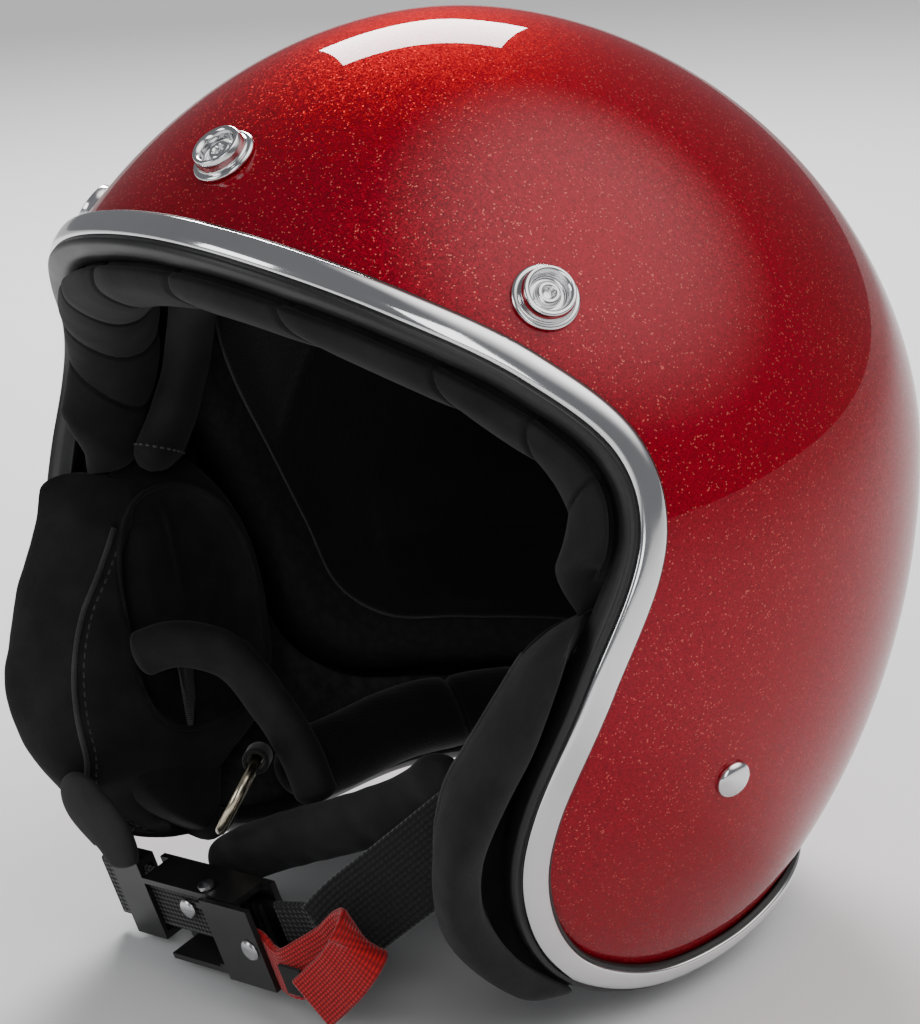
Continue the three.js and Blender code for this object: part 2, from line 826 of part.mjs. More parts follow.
// The fixed run of a strap, from its anchor through the cheek pad. Longer by over at both ends.
function strapRun(side, width, wall, over) {
  const [x, y, z] = STRAP_EXIT;
  const path = [
    [98, -16, 70],
    [89, -23, 68],
    [78, -38, 63],
    [x + 6, y + 7, z + 1.5],
  ].map((p) => new THREE.Vector3(...p));
  const start = path[0].clone().sub(path[1]).setLength(over / 4);
  const end = path[3].clone().sub(path[2]).setLength(over);
  path[0].add(start);
  path[3].add(end);
  const points = path.map((p) => [p.x * side, p.y, p.z]);
  const across = [
    [0, 0, 1],
    [0, -0.05, 1],
  ];
  return ribbon(points, across, width, wall, { steps: 10 });
}

function makeStraps() {
  const [x, y, z] = STRAP_EXIT;
  for (const [name, side] of [
    ["left", 1],
    ["right", -1],
  ]) {
    add("strap_run_" + name, strapRun(side, WEBBING_WIDTH, WEBBING_WALL, 0), "webbing");
  }
  const buckle = new THREE.Group();
  buckle.position.set(...BUCKLE_PLACE);
  buckle.rotation.x = THREE.MathUtils.degToRad(BUCKLE_TILT);
  buckle.rotation.y = -THREE.MathUtils.degToRad(BUCKLE_RISE);
  helmet.add(buckle);
  buckle.updateMatrixWorld(true);

  // the left strap runs on from the tongue's tail up to its slot
  const exit = buckle.worldToLocal(new THREE.Vector3(x - 1, y - 2, z)).toArray();
  const left = [
    [TONGUE_TAIL + 2, TONGUE_BACK - TONGUE_WALL / 2, 0],
    [TONGUE_TAIL + 7, 1.6, 0.6],
    [TONGUE_TAIL + 16, 7, 7],
    [TONGUE_TAIL + 30, 16.5, 15.5],
    exit,
  ];
  const upright = [
    [0, 0, 1],
    [-0.1, 0, 1],
    [-0.4, 0, 1],
    [-0.5, 0, 1],
    [-0.4, 0, 1],
  ];
  add("strap_left", ribbon(left, upright, WEBBING_WIDTH, WEBBING_WALL), "webbing", buckle);

  const chinPad = [
    [x - 8, y - 1.5, z + 13],
    [38, -57.5, 57],
    [16, -59, 45],
    [-8, -60.5, 34],
    [-26, -61.5, 25],
    [-42, -61, 14.5],
  ];
  const flat = [
    [0, -0.3, 1],
    [0, -0.3, 1],
  ];
  const soft = { steps: 12, sides: 10, rounded: true };
  add("chin_pad", ribbon(chinPad, flat, CHIN_PAD_RADIUS * 2, 12, soft), "suede");

  const sleeve = [
    [-x - 1.5, y - 13.5, z + 20],
    [-54, -62, z + 23.5],
    [-43, -52.5, z + 20],
    [-28, -50, z + 8],
    [-18, -48.5, z - 5],
    [-12, -48, z - 18],
  ];
  const sleeveAcross = [
    [0, -0.3, 1],
    [0.3, 0, 1],
    [1, 0, 0.4],
  ];
  const round = { steps: 14, sides: 8, rounded: true };
  const padded = ribbon(sleeve, sleeveAcross, SLEEVE_RADIUS * 2.3, SLEEVE_RADIUS * 1.7, round);
  add("strap_sleeve", padded, "suede");

  // the right strap is riveted to the buckle and turns up under its flap
  const right = [
    [SLIDER_X - 15, 1.7, 0],
    [SLIDER_X, 1.7, 0],
    [BUCKLE_RIVET_X + 5, 1.7, 0],
  ];
  const band = ribbon(right, [[0, 0, 1], [0, 0, 1]], WEBBING_WIDTH - 4, WEBBING_WALL, { steps: 4 });
  const hole = rod(BUCKLE_RIVET_RADIUS + 0.3, 12, "y", [BUCKLE_RIVET_X, 1.7, 0], 12);
  add("strap_right", cut(band, hole), "webbing", buckle);

  const flap = [
    [SLIDER_X - 9, -3.6, 40],
    [SLIDER_X - 4, -3.8, 34],
    [SLIDER_X + 5, -4.2, 24],
    [SLIDER_X + 7, -4.9, 14],
  ];
  const flapAcross = [
    [0.5, 0, 0.85],
    [0.7, 0, 0.7],
    [1, 0, 0],
  ];
  const edge = { steps: 8, sides: 10, rounded: true };
  add("strap_flap", ribbon(flap, flapAcross, FLAP_WIDTH, FLAP_WALL, edge), "suede", buckle);

  // slider that gathers the right strap
  const body = box(SLIDER_LENGTH, SLIDER_DEPTH, WEBBING_WIDTH + 2, [SLIDER_X, 1.6, 0]);
  const way = box(SLIDER_LENGTH + 4, WEBBING_WALL + 1.6, WEBBING_WIDTH - 2.4, [SLIDER_X, 1.6, 0]);
  add("strap_slider", cut(body, way), "plastic", buckle);
  return buckle;
}

// ---- Buckle ------------------------------------------------------------------------------

const PLATE_Y = 4; // middle of the frame's plate, on the chin side
const TONGUE_BACK = PLATE_Y - BUCKLE_WALL / 2 - 0.4;
const TONGUE_TIP = -BUCKLE_LENGTH / 2 + 17;
const TONGUE_TAIL = TONGUE_TIP + TONGUE_LENGTH;
const TEETH_END = TONGUE_TIP + 30;

function makeBuckle(buckle) {
  const [pinX, pinY] = LEVER_PIN_PLACE;
  const flangeZ = (BUCKLE_WIDTH - BUCKLE_WALL) / 2;
  const flangeY = PLATE_Y + (BUCKLE_WALL - BUCKLE_DEPTH) / 2;
  const pinHole = rod(LEVER_PIN_RADIUS + 0.3, BUCKLE_WIDTH + 4, "z", [pinX, pinY, 0], 12);
  const holeRadius = BUCKLE_RIVET_RADIUS + 0.3;
  const rivetHole = rod(holeRadius, 12, "y", [BUCKLE_RIVET_X, PLATE_Y, 0], 12);
  const plate = box(BUCKLE_LENGTH, BUCKLE_WALL, BUCKLE_WIDTH, [0, PLATE_Y, 0]);
  const flanges = [flangeZ, -flangeZ].map((z) =>
    box(BUCKLE_LENGTH - 8, BUCKLE_DEPTH, BUCKLE_WALL, [0, flangeY, z]),
  );
  add("buckle_frame", cut(join(plate, ...flanges), pinHole, rivetHole), "plastic", buckle);

  // through the plate and the strap that lies on it
  const back = PLATE_Y + BUCKLE_WALL / 2 + 0.4;
  const rivet = turned(
    [
      [0, -1],
      [2.6, -0.8],
      [2.6, 0],
      [BUCKLE_RIVET_RADIUS, 0],
      [BUCKLE_RIVET_RADIUS, 6],
      [3.2, 6],
      [2.4, 7],
      [0, 7.4],
    ],
    14,
  );
  rivet.rotateX(Math.PI).translate(BUCKLE_RIVET_X, back, 0);
  add("buckle_rivet", rivet, "steel", buckle);

  const head = flangeZ + BUCKLE_WALL / 2 + 0.4;
  const pin = turned(
    [
      [0, -head - 1.4],
      [2.4, -head - 1],
      [2.4, -head],
      [LEVER_PIN_RADIUS, -head],
      [LEVER_PIN_RADIUS, head],
      [2.4, head],
      [2.4, head + 1],
      [0, head + 1.4],
    ],
    14,
  );
  add("lever_pin", pin.rotateX(Math.PI / 2).translate(pinX, pinY, 0), "steel", buckle);

  // toothed tongue, lying on the frame's plate under the lever
  const tongue = new THREE.Shape();
  tongue.moveTo(TONGUE_TIP + 3, 0);
  tongue.lineTo(TONGUE_TAIL, 0);
  tongue.lineTo(TONGUE_TAIL, TONGUE_WALL);
  tongue.lineTo(TEETH_END, TONGUE_WALL);
  for (let x = TEETH_END; x > TONGUE_TIP + 4; x -= TOOTH_PITCH) {
    tongue.lineTo(x - 0.4, TONGUE_WALL + TOOTH_HEIGHT);
    tongue.lineTo(x - TOOTH_PITCH, TONGUE_WALL);
  }
  tongue.lineTo(TONGUE_TIP, TONGUE_WALL / 2);
  const bar = new THREE.ExtrudeGeometry(tongue, { depth: TONGUE_WIDTH, bevelEnabled: false });
  bar.translate(0, 0, -TONGUE_WIDTH / 2).scale(1, -1, 1).translate(0, TONGUE_BACK, 0);
  add("buckle_tongue", facingOutAgain(bar), "plastic", buckle);

  // lever: a cover plate, two ears on the pin and a pawl over the teeth
  const coverY = flangeY - BUCKLE_DEPTH / 2 - 0.5 - LEVER_WALL / 2;
  const coverX = pinX + 1.5 + LEVER_LENGTH / 2;
  const cover = box(LEVER_LENGTH, LEVER_WALL, BUCKLE_WIDTH - 1, [coverX, coverY, 0]);
  const earZ = flangeZ - BUCKLE_WALL / 2 - 0.5 - 1;
  const ears = [earZ, -earZ].map((z) =>
    join(
      rod(2.6, 2, "z", [pinX, pinY, z], 12),
      box(6, pinY - coverY, 2, [pinX + 0.8, (pinY + coverY) / 2, z]),
    ),
  );
  const pawlTip = TONGUE_BACK - TONGUE_WALL - TOOTH_HEIGHT * 0.8;
  const pawlX = TEETH_END - TOOTH_PITCH * 3 + 0.9;
  const pawl = box(0.8, pawlTip - coverY, TONGUE_WIDTH - 3, [pawlX, (pawlTip + coverY) / 2, 0]);
  const tabHole = rod(1.9, 6, "y", [TAB_RIVET_X, coverY, 0], 12);
  add("buckle_lever", cut(join(cover, ...ears, pawl), pinHole, tabHole), "plastic", buckle);

  // the pull tab's own end is riveted under the cover plate
  const plyY = coverY + LEVER_WALL / 2 + 0.7 + TAB_WALL / 2;
  const inner = plyY + TAB_WALL / 2 + 0.4;
  const outer = coverY - LEVER_WALL / 2 - 0.4;
  const tabRivet = turned(
    [
      [0, -1],
      [2.6, -0.8],
      [2.6, 0],
      [1.5, 0],
      [1.5, inner - outer],
      [3.1, inner - outer],
      [2.3, inner - outer + 1],
      [0, inner - outer + 1.4],
    ],
    14,
  );
  tabRivet.rotateX(Math.PI).translate(TAB_RIVET_X, inner, 0);
  add("tab_rivet", tabRivet, "steel", buckle);
  const loop = [
    [TAB_RIVET_X - 4.3, plyY, -3],
    [TAB_RIVET_X + 1, plyY, -3.5],
    [TAB_RIVET_X + 6.5, plyY - 1, -6],
    [TAB_RIVET_X + 12, plyY - 1.5, -6.5],
    [TAB_RIVET_X + 22, plyY + 0.7, -2.2],
    [TAB_RIVET_X + 31, plyY + 3, 2.5],
    [TAB_RIVET_X + 38, plyY + 4, 7.5],
    [TAB_RIVET_X + 43, plyY + 3, 9.5],
    [TAB_RIVET_X + 45, plyY, 7.5],
    [TAB_RIVET_X + 40, plyY - 2.7, 1.7],
    [TAB_RIVET_X + 32.5, plyY - 5, -4.2],
    [TAB_RIVET_X + 26, plyY - 7, -8.8],
  ];
  const across = [
    [0, 0, 1],
    [0, 0, 1],
    [-0.35, 0, 1],
    [-0.5, 0, 1],
    [-0.6, 0, 1],
    [-0.6, 0, 1],
  ];
  const strip = ribbon(loop, across, TAB_WIDTH, TAB_WALL, { steps: 24 });
  const through = rod(1.9, 4, "y", [TAB_RIVET_X, plyY, 0], 12);
  add("pull_tab", cut(strip, through), "red_fabric", buckle);
  const label = box(9, 0.9, 9, [TAB_RIVET_X + 15, plyY - 3.2, -7]);
  add("tab_patch", label, "plastic", buckle);

  const coil = new THREE.Curve();
  coil.getPoint = (share, target = new THREE.Vector3()) => {
    const turn = share * SPRING_TURNS * 2 * Math.PI;
    const x = SPRING_RADIUS * Math.cos(turn);
    return target.set(x, SPRING_RADIUS * Math.sin(turn), (share - 0.5) * SPRING_LENGTH);
  };
  const wire = new THREE.Shape();
  wire.absarc(0, 0, SPRING_WIRE, 0, 2 * Math.PI);
  const spring = new THREE.ExtrudeGeometry(wire, {
    steps: SPRING_TURNS * 8,
    curveSegments: 3,
    extrudePath: coil,
  });
  spring.translate(pinX, pinY, 0);
  add("lever_spring", facingOutAgain(spring), "steel", buckle);
}

// Theft ring, hanging from a webbing loop under the sleeve
function makeRing() {
  const ring = new THREE.TorusGeometry(RING_RADIUS, RING_WIRE, 8, 24);
  const down = new THREE.Vector3(...RING_HANG).normalize();
  const face = new THREE.Vector3(...RING_FACE).projectOnPlane(down).normalize();
  const side = new THREE.Vector3().crossVectors(down, face);
  ring.applyMatrix4(new THREE.Matrix4().makeBasis(side, down, face));
  const top = new THREE.Vector3(...RING_TOP);
  const middle = top.clone().addScaledVector(down, RING_RADIUS);
  ring.translate(middle.x, middle.y, middle.z);
  add("lock_ring", facingOutAgain(ring), "brass");

  // the loop goes round the ring's wire and up against the sleeve
  const eye = new THREE.TorusGeometry(RING_WIRE + 1.6, 0.9, 6, 16);
  eye.scale(1, 1, 4);
  eye.applyMatrix4(new THREE.Matrix4().makeBasis(down, face, side));
  eye.translate(top.x, top.y, top.z);
  add("ring_loop", facingOutAgain(eye), "webbing");
}

makeShell();
makeTrims();
makeLinings();
makeRolls();
makeSnaps();
makeAnchors();
makePads();
const buckleFrame = makeStraps();
makeBuckle(buckleFrame);
makeRing();

export default helmet;
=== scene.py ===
import math

import bpy
import numpy as np
from mathutils import Matrix, Vector


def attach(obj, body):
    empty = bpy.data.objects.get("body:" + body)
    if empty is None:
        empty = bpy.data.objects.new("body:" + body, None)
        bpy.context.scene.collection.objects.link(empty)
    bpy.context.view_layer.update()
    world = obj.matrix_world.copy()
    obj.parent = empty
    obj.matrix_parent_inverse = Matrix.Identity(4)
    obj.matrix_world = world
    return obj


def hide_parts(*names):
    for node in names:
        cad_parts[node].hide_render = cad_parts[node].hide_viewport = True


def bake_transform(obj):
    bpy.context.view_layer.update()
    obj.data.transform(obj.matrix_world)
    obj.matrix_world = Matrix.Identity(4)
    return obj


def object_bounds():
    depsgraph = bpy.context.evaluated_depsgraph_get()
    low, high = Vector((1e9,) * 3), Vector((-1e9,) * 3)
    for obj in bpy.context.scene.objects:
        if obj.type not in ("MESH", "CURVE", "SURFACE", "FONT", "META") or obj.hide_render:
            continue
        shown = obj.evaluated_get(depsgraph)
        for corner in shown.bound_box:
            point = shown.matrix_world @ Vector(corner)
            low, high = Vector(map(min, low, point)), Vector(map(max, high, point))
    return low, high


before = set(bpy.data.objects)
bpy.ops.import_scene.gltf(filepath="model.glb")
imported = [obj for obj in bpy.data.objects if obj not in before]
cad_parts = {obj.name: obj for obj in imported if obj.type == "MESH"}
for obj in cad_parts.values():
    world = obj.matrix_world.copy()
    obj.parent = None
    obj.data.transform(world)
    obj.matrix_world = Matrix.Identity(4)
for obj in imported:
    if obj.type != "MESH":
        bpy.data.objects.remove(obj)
CAD_BOX = [list(c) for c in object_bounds()]
MM = 0.001

# ---- Shape of the shell, as in the CAD --------------------------------------------------

HALF_WIDTH, FRONT_LENGTH, BACK_LENGTH, CROWN_RISE = 119.7, 132.3, 139.2, 127.5
CROWN_POWER, SIDE_TAPER, BACK_TAPER, WIDEST_LEVEL = 1.86, 170.0, 152.0, 126.5
SHELL_WALL = 4.0
SHELL_EDGE = [
    (0, 39.9), (20, 38.1), (38, 33.4), (54, 26), (64.5, 16.5), (66, 8), (59, -9), (52.4, -24),
    (50.8, -32.5), (52.4, -41), (57.5, -48.2), (66, -53), (78, -56.2), (97, -56.8),
    (122, -54.6), (150, -53.6), (180, -53.6),
]
EPS_EDGE = [
    (0, 52.5), (22, 50.5), (42, 45), (58, 36.5), (71, 25), (80, 10), (90, -10), (96, -26),
    (100, -38), (110, -44), (128, -45.5), (152, -45.5), (180, -45.5),
]
CENTRE = np.array([0, 0, WIDEST_LEVEL])


def bearing(azimuth, elevation):
    a, e = np.radians(azimuth), np.radians(elevation)
    return np.stack([np.sin(a) * np.cos(e), -np.cos(a) * np.cos(e), np.sin(e)], -1)


POLE = bearing(180.0, 25.0)


def unit(v):
    return v / np.maximum(np.linalg.norm(v, axis=-1, keepdims=True), 1e-12)


def bell(x, width):
    """1 at zero, fading out over a width."""
    return np.exp(-((x / width) ** 2))


def dome(near, least):
    """A quarter circle from least at 0 up to 1 at 1 and beyond."""
    return np.sqrt(np.clip(1 - (1 - np.clip(near, 0, 1)) ** 2, least, 1))


def circle(count):
    return np.linspace(0, 2 * np.pi, count, endpoint=False)


def squared_circle(count, power):
    """Cosines and sines around, made squarer as the power goes below 1."""
    c, s = np.cos(circle(count)), np.sin(circle(count))
    return np.sign(c) * np.abs(c) ** power, np.sign(s) * np.abs(s) ** power


def reach(d, inset):
    x, y, z = d[..., 0], d[..., 1], d[..., 2]
    length = np.where(y < 0, FRONT_LENGTH, BACK_LENGTH) - inset
    spread = np.hypot(x / (HALF_WIDTH - inset), y / length)
    rise = np.maximum(z, 0) / (CROWN_RISE - inset)
    up = (spread**CROWN_POWER + rise**CROWN_POWER) ** (-1 / CROWN_POWER)
    back = np.maximum(y, 0) / length / np.maximum(spread, 1e-9)
    taper = SIDE_TAPER + (BACK_TAPER - SIDE_TAPER) * back**2 - inset
    down = 1 / np.hypot(spread, z / taper)
    return np.where(z >= 0, up, down)


def on_shell(d, inset=0.0):
    d = unit(d)
    return d * reach(d, inset)[..., None] + CENTRE


def shell_normal(p):
    def level(q):
        d = q - CENTRE
        return np.linalg.norm(d, axis=-1) / reach(unit(d), 0.0)

    slope = []
    for axis in np.eye(3) * 0.4:
        slope.append(level(p + axis) - level(p - axis))
    return unit(np.stack(slope, -1))


def catmull(points, closed, samples):
    """Centripetal Catmull-Rom through points, at evenly spread parameters."""
    points = np.asarray(points, float)
    count = len(points)
    spans = count if closed else count - 1
    t = np.linspace(0, spans, samples, endpoint=not closed)
    k = np.minimum(t.astype(int), spans - 1)
    w = (t - k)[:, None]
    if closed:
        p0, p1, p2, p3 = (points[(k + i) % count] for i in (-1, 0, 1, 2))
    else:
        ext = np.vstack([2 * points[0] - points[1], points, 2 * points[-1] - points[-2]])
        p0, p1, p2, p3 = (ext[k + i] for i in (0, 1, 2, 3))

    def gap(a, b):
        return np.maximum(np.sum((a - b) ** 2, 1), 1e-9)[:, None] ** 0.25

    d0, d1, d2 = gap(p0, p1), gap(p1, p2), gap(p2, p3)
    m1 = ((p1 - p0) / d0 - (p2 - p0) / (d0 + d1) + (p2 - p1) / d1) * d1
    m2 = ((p2 - p1) / d1 - (p3 - p1) / (d1 + d2) + (p3 - p2) / d2) * d1
    a = 2 * p1 - 2 * p2 + m1 + m2
    b = -3 * p1 + 3 * p2 - 2 * m1 - m2
    return a * w**3 + b * w**2 + m1 * w + p1


def spaced(points, closed, samples):
    """Points at even lengths along a dense line."""
    line = np.vstack([points, points[:1]]) if closed else points
    at = np.concatenate([[0], np.cumsum(np.linalg.norm(np.diff(line, axis=0), axis=1))])
    want = np.linspace(0, at[-1], samples, endpoint=not closed)
    return np.stack([np.interp(want, at, line[:, i]) for i in range(3)], 1)


def edge_loop(angles, steps):
    left = on_shell(bearing(*np.array(angles, float).T))
    right = left[1:-1][::-1] * [-1, 1, 1]
    dense = catmull(np.vstack([left, right]), True, 4000)
    return unit(spaced(dense, True, steps) - CENTRE)


EDGE_POINTS = 1600
EDGE_LINE = spaced(on_shell(edge_loop(SHELL_EDGE, EDGE_POINTS)), True, EDGE_POINTS)
RUN_AHEAD, RUN_BEHIND = 9, 8  # points of the edge between which its direction is taken
FRONT_RUN = 0.34  # share of the edge from the brow down to the cheek's lowest point


def edge_frame(share):
    """Place, way out of the shell and way past the edge, at shares of the edge's length."""
    u = np.asarray(share, float) % 1 * len(EDGE_LINE)
    k = u.astype(int) % len(EDGE_LINE)
    w = (u - np.floor(u))[..., None]
    here = EDGE_LINE[k] * (1 - w) + EDGE_LINE[(k + 1) % len(EDGE_LINE)] * w
    place = on_shell(here - CENTRE)
    out = shell_normal(place)
    run = unit(EDGE_LINE[(k + RUN_AHEAD) % len(EDGE_LINE)] - EDGE_LINE[k - RUN_BEHIND])
    past = unit(np.cross(run, out))
    past *= np.where(past @ POLE > 0, -1.0, 1.0)[..., None]
    return place, out, past


def edge_share(level):
    """Share of the edge's length at which its front run comes down to a level."""
    half = EDGE_LINE[: int(len(EDGE_LINE) * FRONT_RUN), 2]
    return np.argmax(half < level) / len(EDGE_LINE)


# ---- Mesh helpers -----------------------------------------------------------------------


def mesh_object(name, points, faces, material, normals=None, uv=None):
    mesh = bpy.data.meshes.new(name)
    mesh.from_pydata((np.asarray(points) * MM).tolist(), [], [list(f) for f in faces])
    mesh.update()
    mesh.shade_smooth()
    if uv is not None:
        layer = mesh.uv_layers.new(name="UVMap")
        corners = np.empty(len(mesh.loops), int)
        mesh.loops.foreach_get("vertex_index", corners)
        layer.data.foreach_set("uv", np.asarray(uv, float)[corners].ravel())
    if normals is not None:
        mesh.normals_split_custom_set_from_vertices(normals.tolist())
    obj = bpy.data.objects.new(name, mesh)
    bpy.context.scene.collection.objects.link(obj)
    for m in material if isinstance(material, (list, tuple)) else [material]:
        mesh.materials.append(m)
    return obj


def grid_faces(rows, cols, wrap_rows=False, wrap_cols=True, start=0):
    faces = []
    for r in range(rows if wrap_rows else rows - 1):
        for c in range(cols if wrap_cols else cols - 1):
            a, b = r * cols + c, r * cols + (c + 1) % cols
            d, e = (r + 1) % rows * cols + c, (r + 1) % rows * cols + (c + 1) % cols
            faces.append((start + a, start + b, start + e, start + d))
    return faces


def volume(points, faces):
    total = 0.0
    for f in faces:
        for i in range(1, len(f) - 1):
            total += np.dot(points[f[0]], np.cross(points[f[i]], points[f[i + 1]]))
    return total


def loft(name, rings, material, looped=False, caps=None, uv=None):
    """A closed form through rings (rows, around, 3)."""
    rings = np.asarray(rings, float)
    rows, cols = rings.shape[:2]
    points = rings.reshape(-1, 3)
    faces = grid_faces(rows, cols, wrap_rows=looped)
    if not looped:
        first, last = caps if caps is not None else (rings[0].mean(0), rings[-1].mean(0))
        points = np.vstack([points, first, last])
        a, b = len(points) - 2, len(points) - 1
        end = (rows - 1) * cols
        faces += [(a, (k + 1) % cols, k) for k in range(cols)]
        faces += [(b, end + k, end + (k + 1) % cols) for k in range(cols)]
        if uv is not None:
            uv = np.vstack([uv, uv[0], uv[-1]])
    if volume(points, faces) < 0:
        faces = [f[::-1] for f in faces]
    return mesh_object(name, points, faces, material, uv=uv)


def lathe(name, profile, material, matrix, segments=64):
    """A turned form about a matrix's Z axis, from (radius, height) points on the axis."""
    rings = []
    turn = circle(segments)
    for radius, height in profile[1:-1]:
        rings.append(np.stack([radius * np.cos(turn), radius * np.sin(turn),
                               np.full(segments, height)], 1))
    caps = ([0, 0, profile[0][1]], [0, 0, profile[-1][1]])
    place = lambda p: np.asarray(p) @ matrix[:3, :3].T + matrix[:3, 3]
    return loft(name, [place(r) for r in rings], material, caps=(place(caps[0]), place(caps[1])))


def rounded(profile, radius, steps=3):
    """A profile with its inner corners rounded off."""
    out = [profile[0]]
    for a, b, c in zip(profile, profile[1:], profile[2:]):
        a, b, c = (np.array(v, float) for v in (a, b, c))
        r = min(radius, 0.45 * np.linalg.norm(a - b), 0.45 * np.linalg.norm(c - b))
        p, q = b + unit(a - b) * r, b + unit(c - b) * r
        for i in range(steps + 1):
            t = i / steps
            out.append(tuple((1 - t) ** 2 * p + 2 * t * (1 - t) * b + t**2 * q))
    out.append(profile[-1])
    return out


def strip_frames(path, across, steps):
    """Places, across and thickness directions along a strip, as in the CAD."""
    path = np.asarray(path, float)
    dense = catmull(path, False, steps)
    ahead = catmull(path, False, steps * 8)
    tangent = unit(np.gradient(ahead, axis=0))
    tangent = tangent[np.linspace(0, len(tangent) - 1, steps).astype(int)]
    legs = np.linspace(0, len(across) - 1, steps)
    k = np.minimum(legs.astype(int), len(across) - 2)
    w = (legs - k)[:, None]
    across = np.asarray(across, float)
    wide = across[k] * (1 - w) + across[k + 1] * w
    wide = unit(wide - tangent * np.sum(wide * tangent, 1, keepdims=True))
    return dense, wide, np.cross(tangent, wide)


def strip(name, path, across, section, material, steps=80, scale=None, ripple=None):
    """A form of one (wide, thick) section along a path. scale(share) gives its end rounding."""
    place, wide, thick = strip_frames(path, across, steps)
    section = np.asarray(section, float)
    share = np.linspace(0, 1, steps)
    size = np.ones(steps) if scale is None else scale(share)
    if size.ndim == 1:
        size = np.stack([size, size], 1)
    rings = (
        place[:, None]
        + wide[:, None] * (section[None, :, :1] * size[:, None, :1])
        + thick[:, None] * (section[None, :, 1:] * size[:, None, 1:])
    )
    if ripple is not None:
        rings = ripple(rings, share, section, thick)
    run = np.concatenate([[0], np.cumsum(np.linalg.norm(np.diff(place, axis=0), axis=1))])
    uv = np.stack([np.repeat(run, len(section)), np.tile(section[:, 0], steps)], 1) * MM
    return loft(name, rings, material, uv=uv)


def flat_section(width, wall, corner=None):
    """A strip's section with rounded edges."""
    r = wall / 2 if corner is None else corner
    points = []
    for cx, cy, start in ((1, 1, 0), (-1, 1, 90), (-1, -1, 180), (1, -1, 270)):
        for a in (0, 30, 60, 90):
            t = math.radians(start + a)
            points.append((cx * (width / 2 - r) + r * math.cos(t),
                           cy * (wall / 2 - r) + r * math.sin(t)))
    spread = []
    for a, b in zip(points, points[1:] + points[:1]):
        gap = math.dist(a, b)
        parts = max(1, int(gap / 1.6))
        spread += [(a[0] + (b[0] - a[0]) * i / parts, a[1] + (b[1] - a[1]) * i / parts)
                   for i in range(parts)]
    return [p for i, p in enumerate(spread) if math.dist(p, spread[i - 1]) > 1e-6]


def oval(width, wall, sides=36, power=1.0):
    c, s = squared_circle(sides, power)
    return np.stack([width / 2 * c, wall / 2 * s], 1)


def end_round(length_share):
    """Rounding of a roll's ends, over a share of its length."""
    return lambda share: dome(np.minimum(share, 1 - share) / length_share, 0.0004)


def smooth_noise(points, size, seed):
    """A soft repeatable noise of about -1 to 1 over points in millimetres."""
    rng = np.random.default_rng(seed)
    total = np.zeros(points.shape[:-1])
    for _ in range(7):
        way = rng.normal(size=3)
        total += np.sin(points @ way * (2 * np.pi / size / np.linalg.norm(way))
                        * rng.uniform(0.6, 1.7) + rng.uniform(0, 6.3))
    return total / 3.5


def tube(name, line, radius, material, sides=10, closed=False):
    line = np.asarray(line, float)
    run = unit(np.gradient(line, axis=0)) if not closed else unit(
        np.roll(line, -1, 0) - np.roll(line, 1, 0))
    side = unit(np.cross(run, [0.3, 0.2, 0.93]))
    up = np.cross(run, side)
    turn = circle(sides)
    radius = np.broadcast_to(np.asarray(radius, float), (len(line),))[:, None, None]
    rings = line[:, None] + radius * (side[:, None] * np.cos(turn)[None, :, None]
                                      + up[:, None] * np.sin(turn)[None, :, None])
    return loft(name, rings, material, looped=closed)


def stitches(name, line, normal, material, pitch=2.6, length=1.8, radius=0.28, lift=0.12):
    """A row of raised threads along a line that lies on a surface."""
    line, normal = np.asarray(line, float), unit(np.asarray(normal, float))
    at = np.concatenate([[0], np.cumsum(np.linalg.norm(np.diff(line, axis=0), axis=1))])
    points, faces = [], []
    for start in np.arange(pitch / 2, at[-1] - length, pitch):
        spots = start + np.array([0, 0.15, 0.5, 0.85, 1]) * length
        p = np.stack([np.interp(spots, at, line[:, i]) for i in range(3)], 1)
        n = unit(np.stack([np.interp(spots, at, normal[:, i]) for i in range(3)], 1))
        run = unit(p[-1] - p[0])
        side = unit(np.cross(n, run))
        size = radius * np.array([0.3, 0.85, 1, 0.85, 0.3])
        height = lift + np.array([-0.35, 0, 0.12, 0, -0.35])
        base = len(points)
        for i in range(5):
            for k in range(6):
                t = k * math.pi / 3
                points.append(p[i] + n[i] * (height[i] + size[i] * math.sin(t))
                              + side[i] * size[i] * math.cos(t))
        faces += grid_faces(5, 6, start=base)
        faces.append(tuple(base + k for k in range(5, -1, -1)))
        faces.append(tuple(base + 24 + k for k in range(6)))
    return mesh_object(name, points, faces, material)


# ---- Materials --------------------------------------------------------------------------


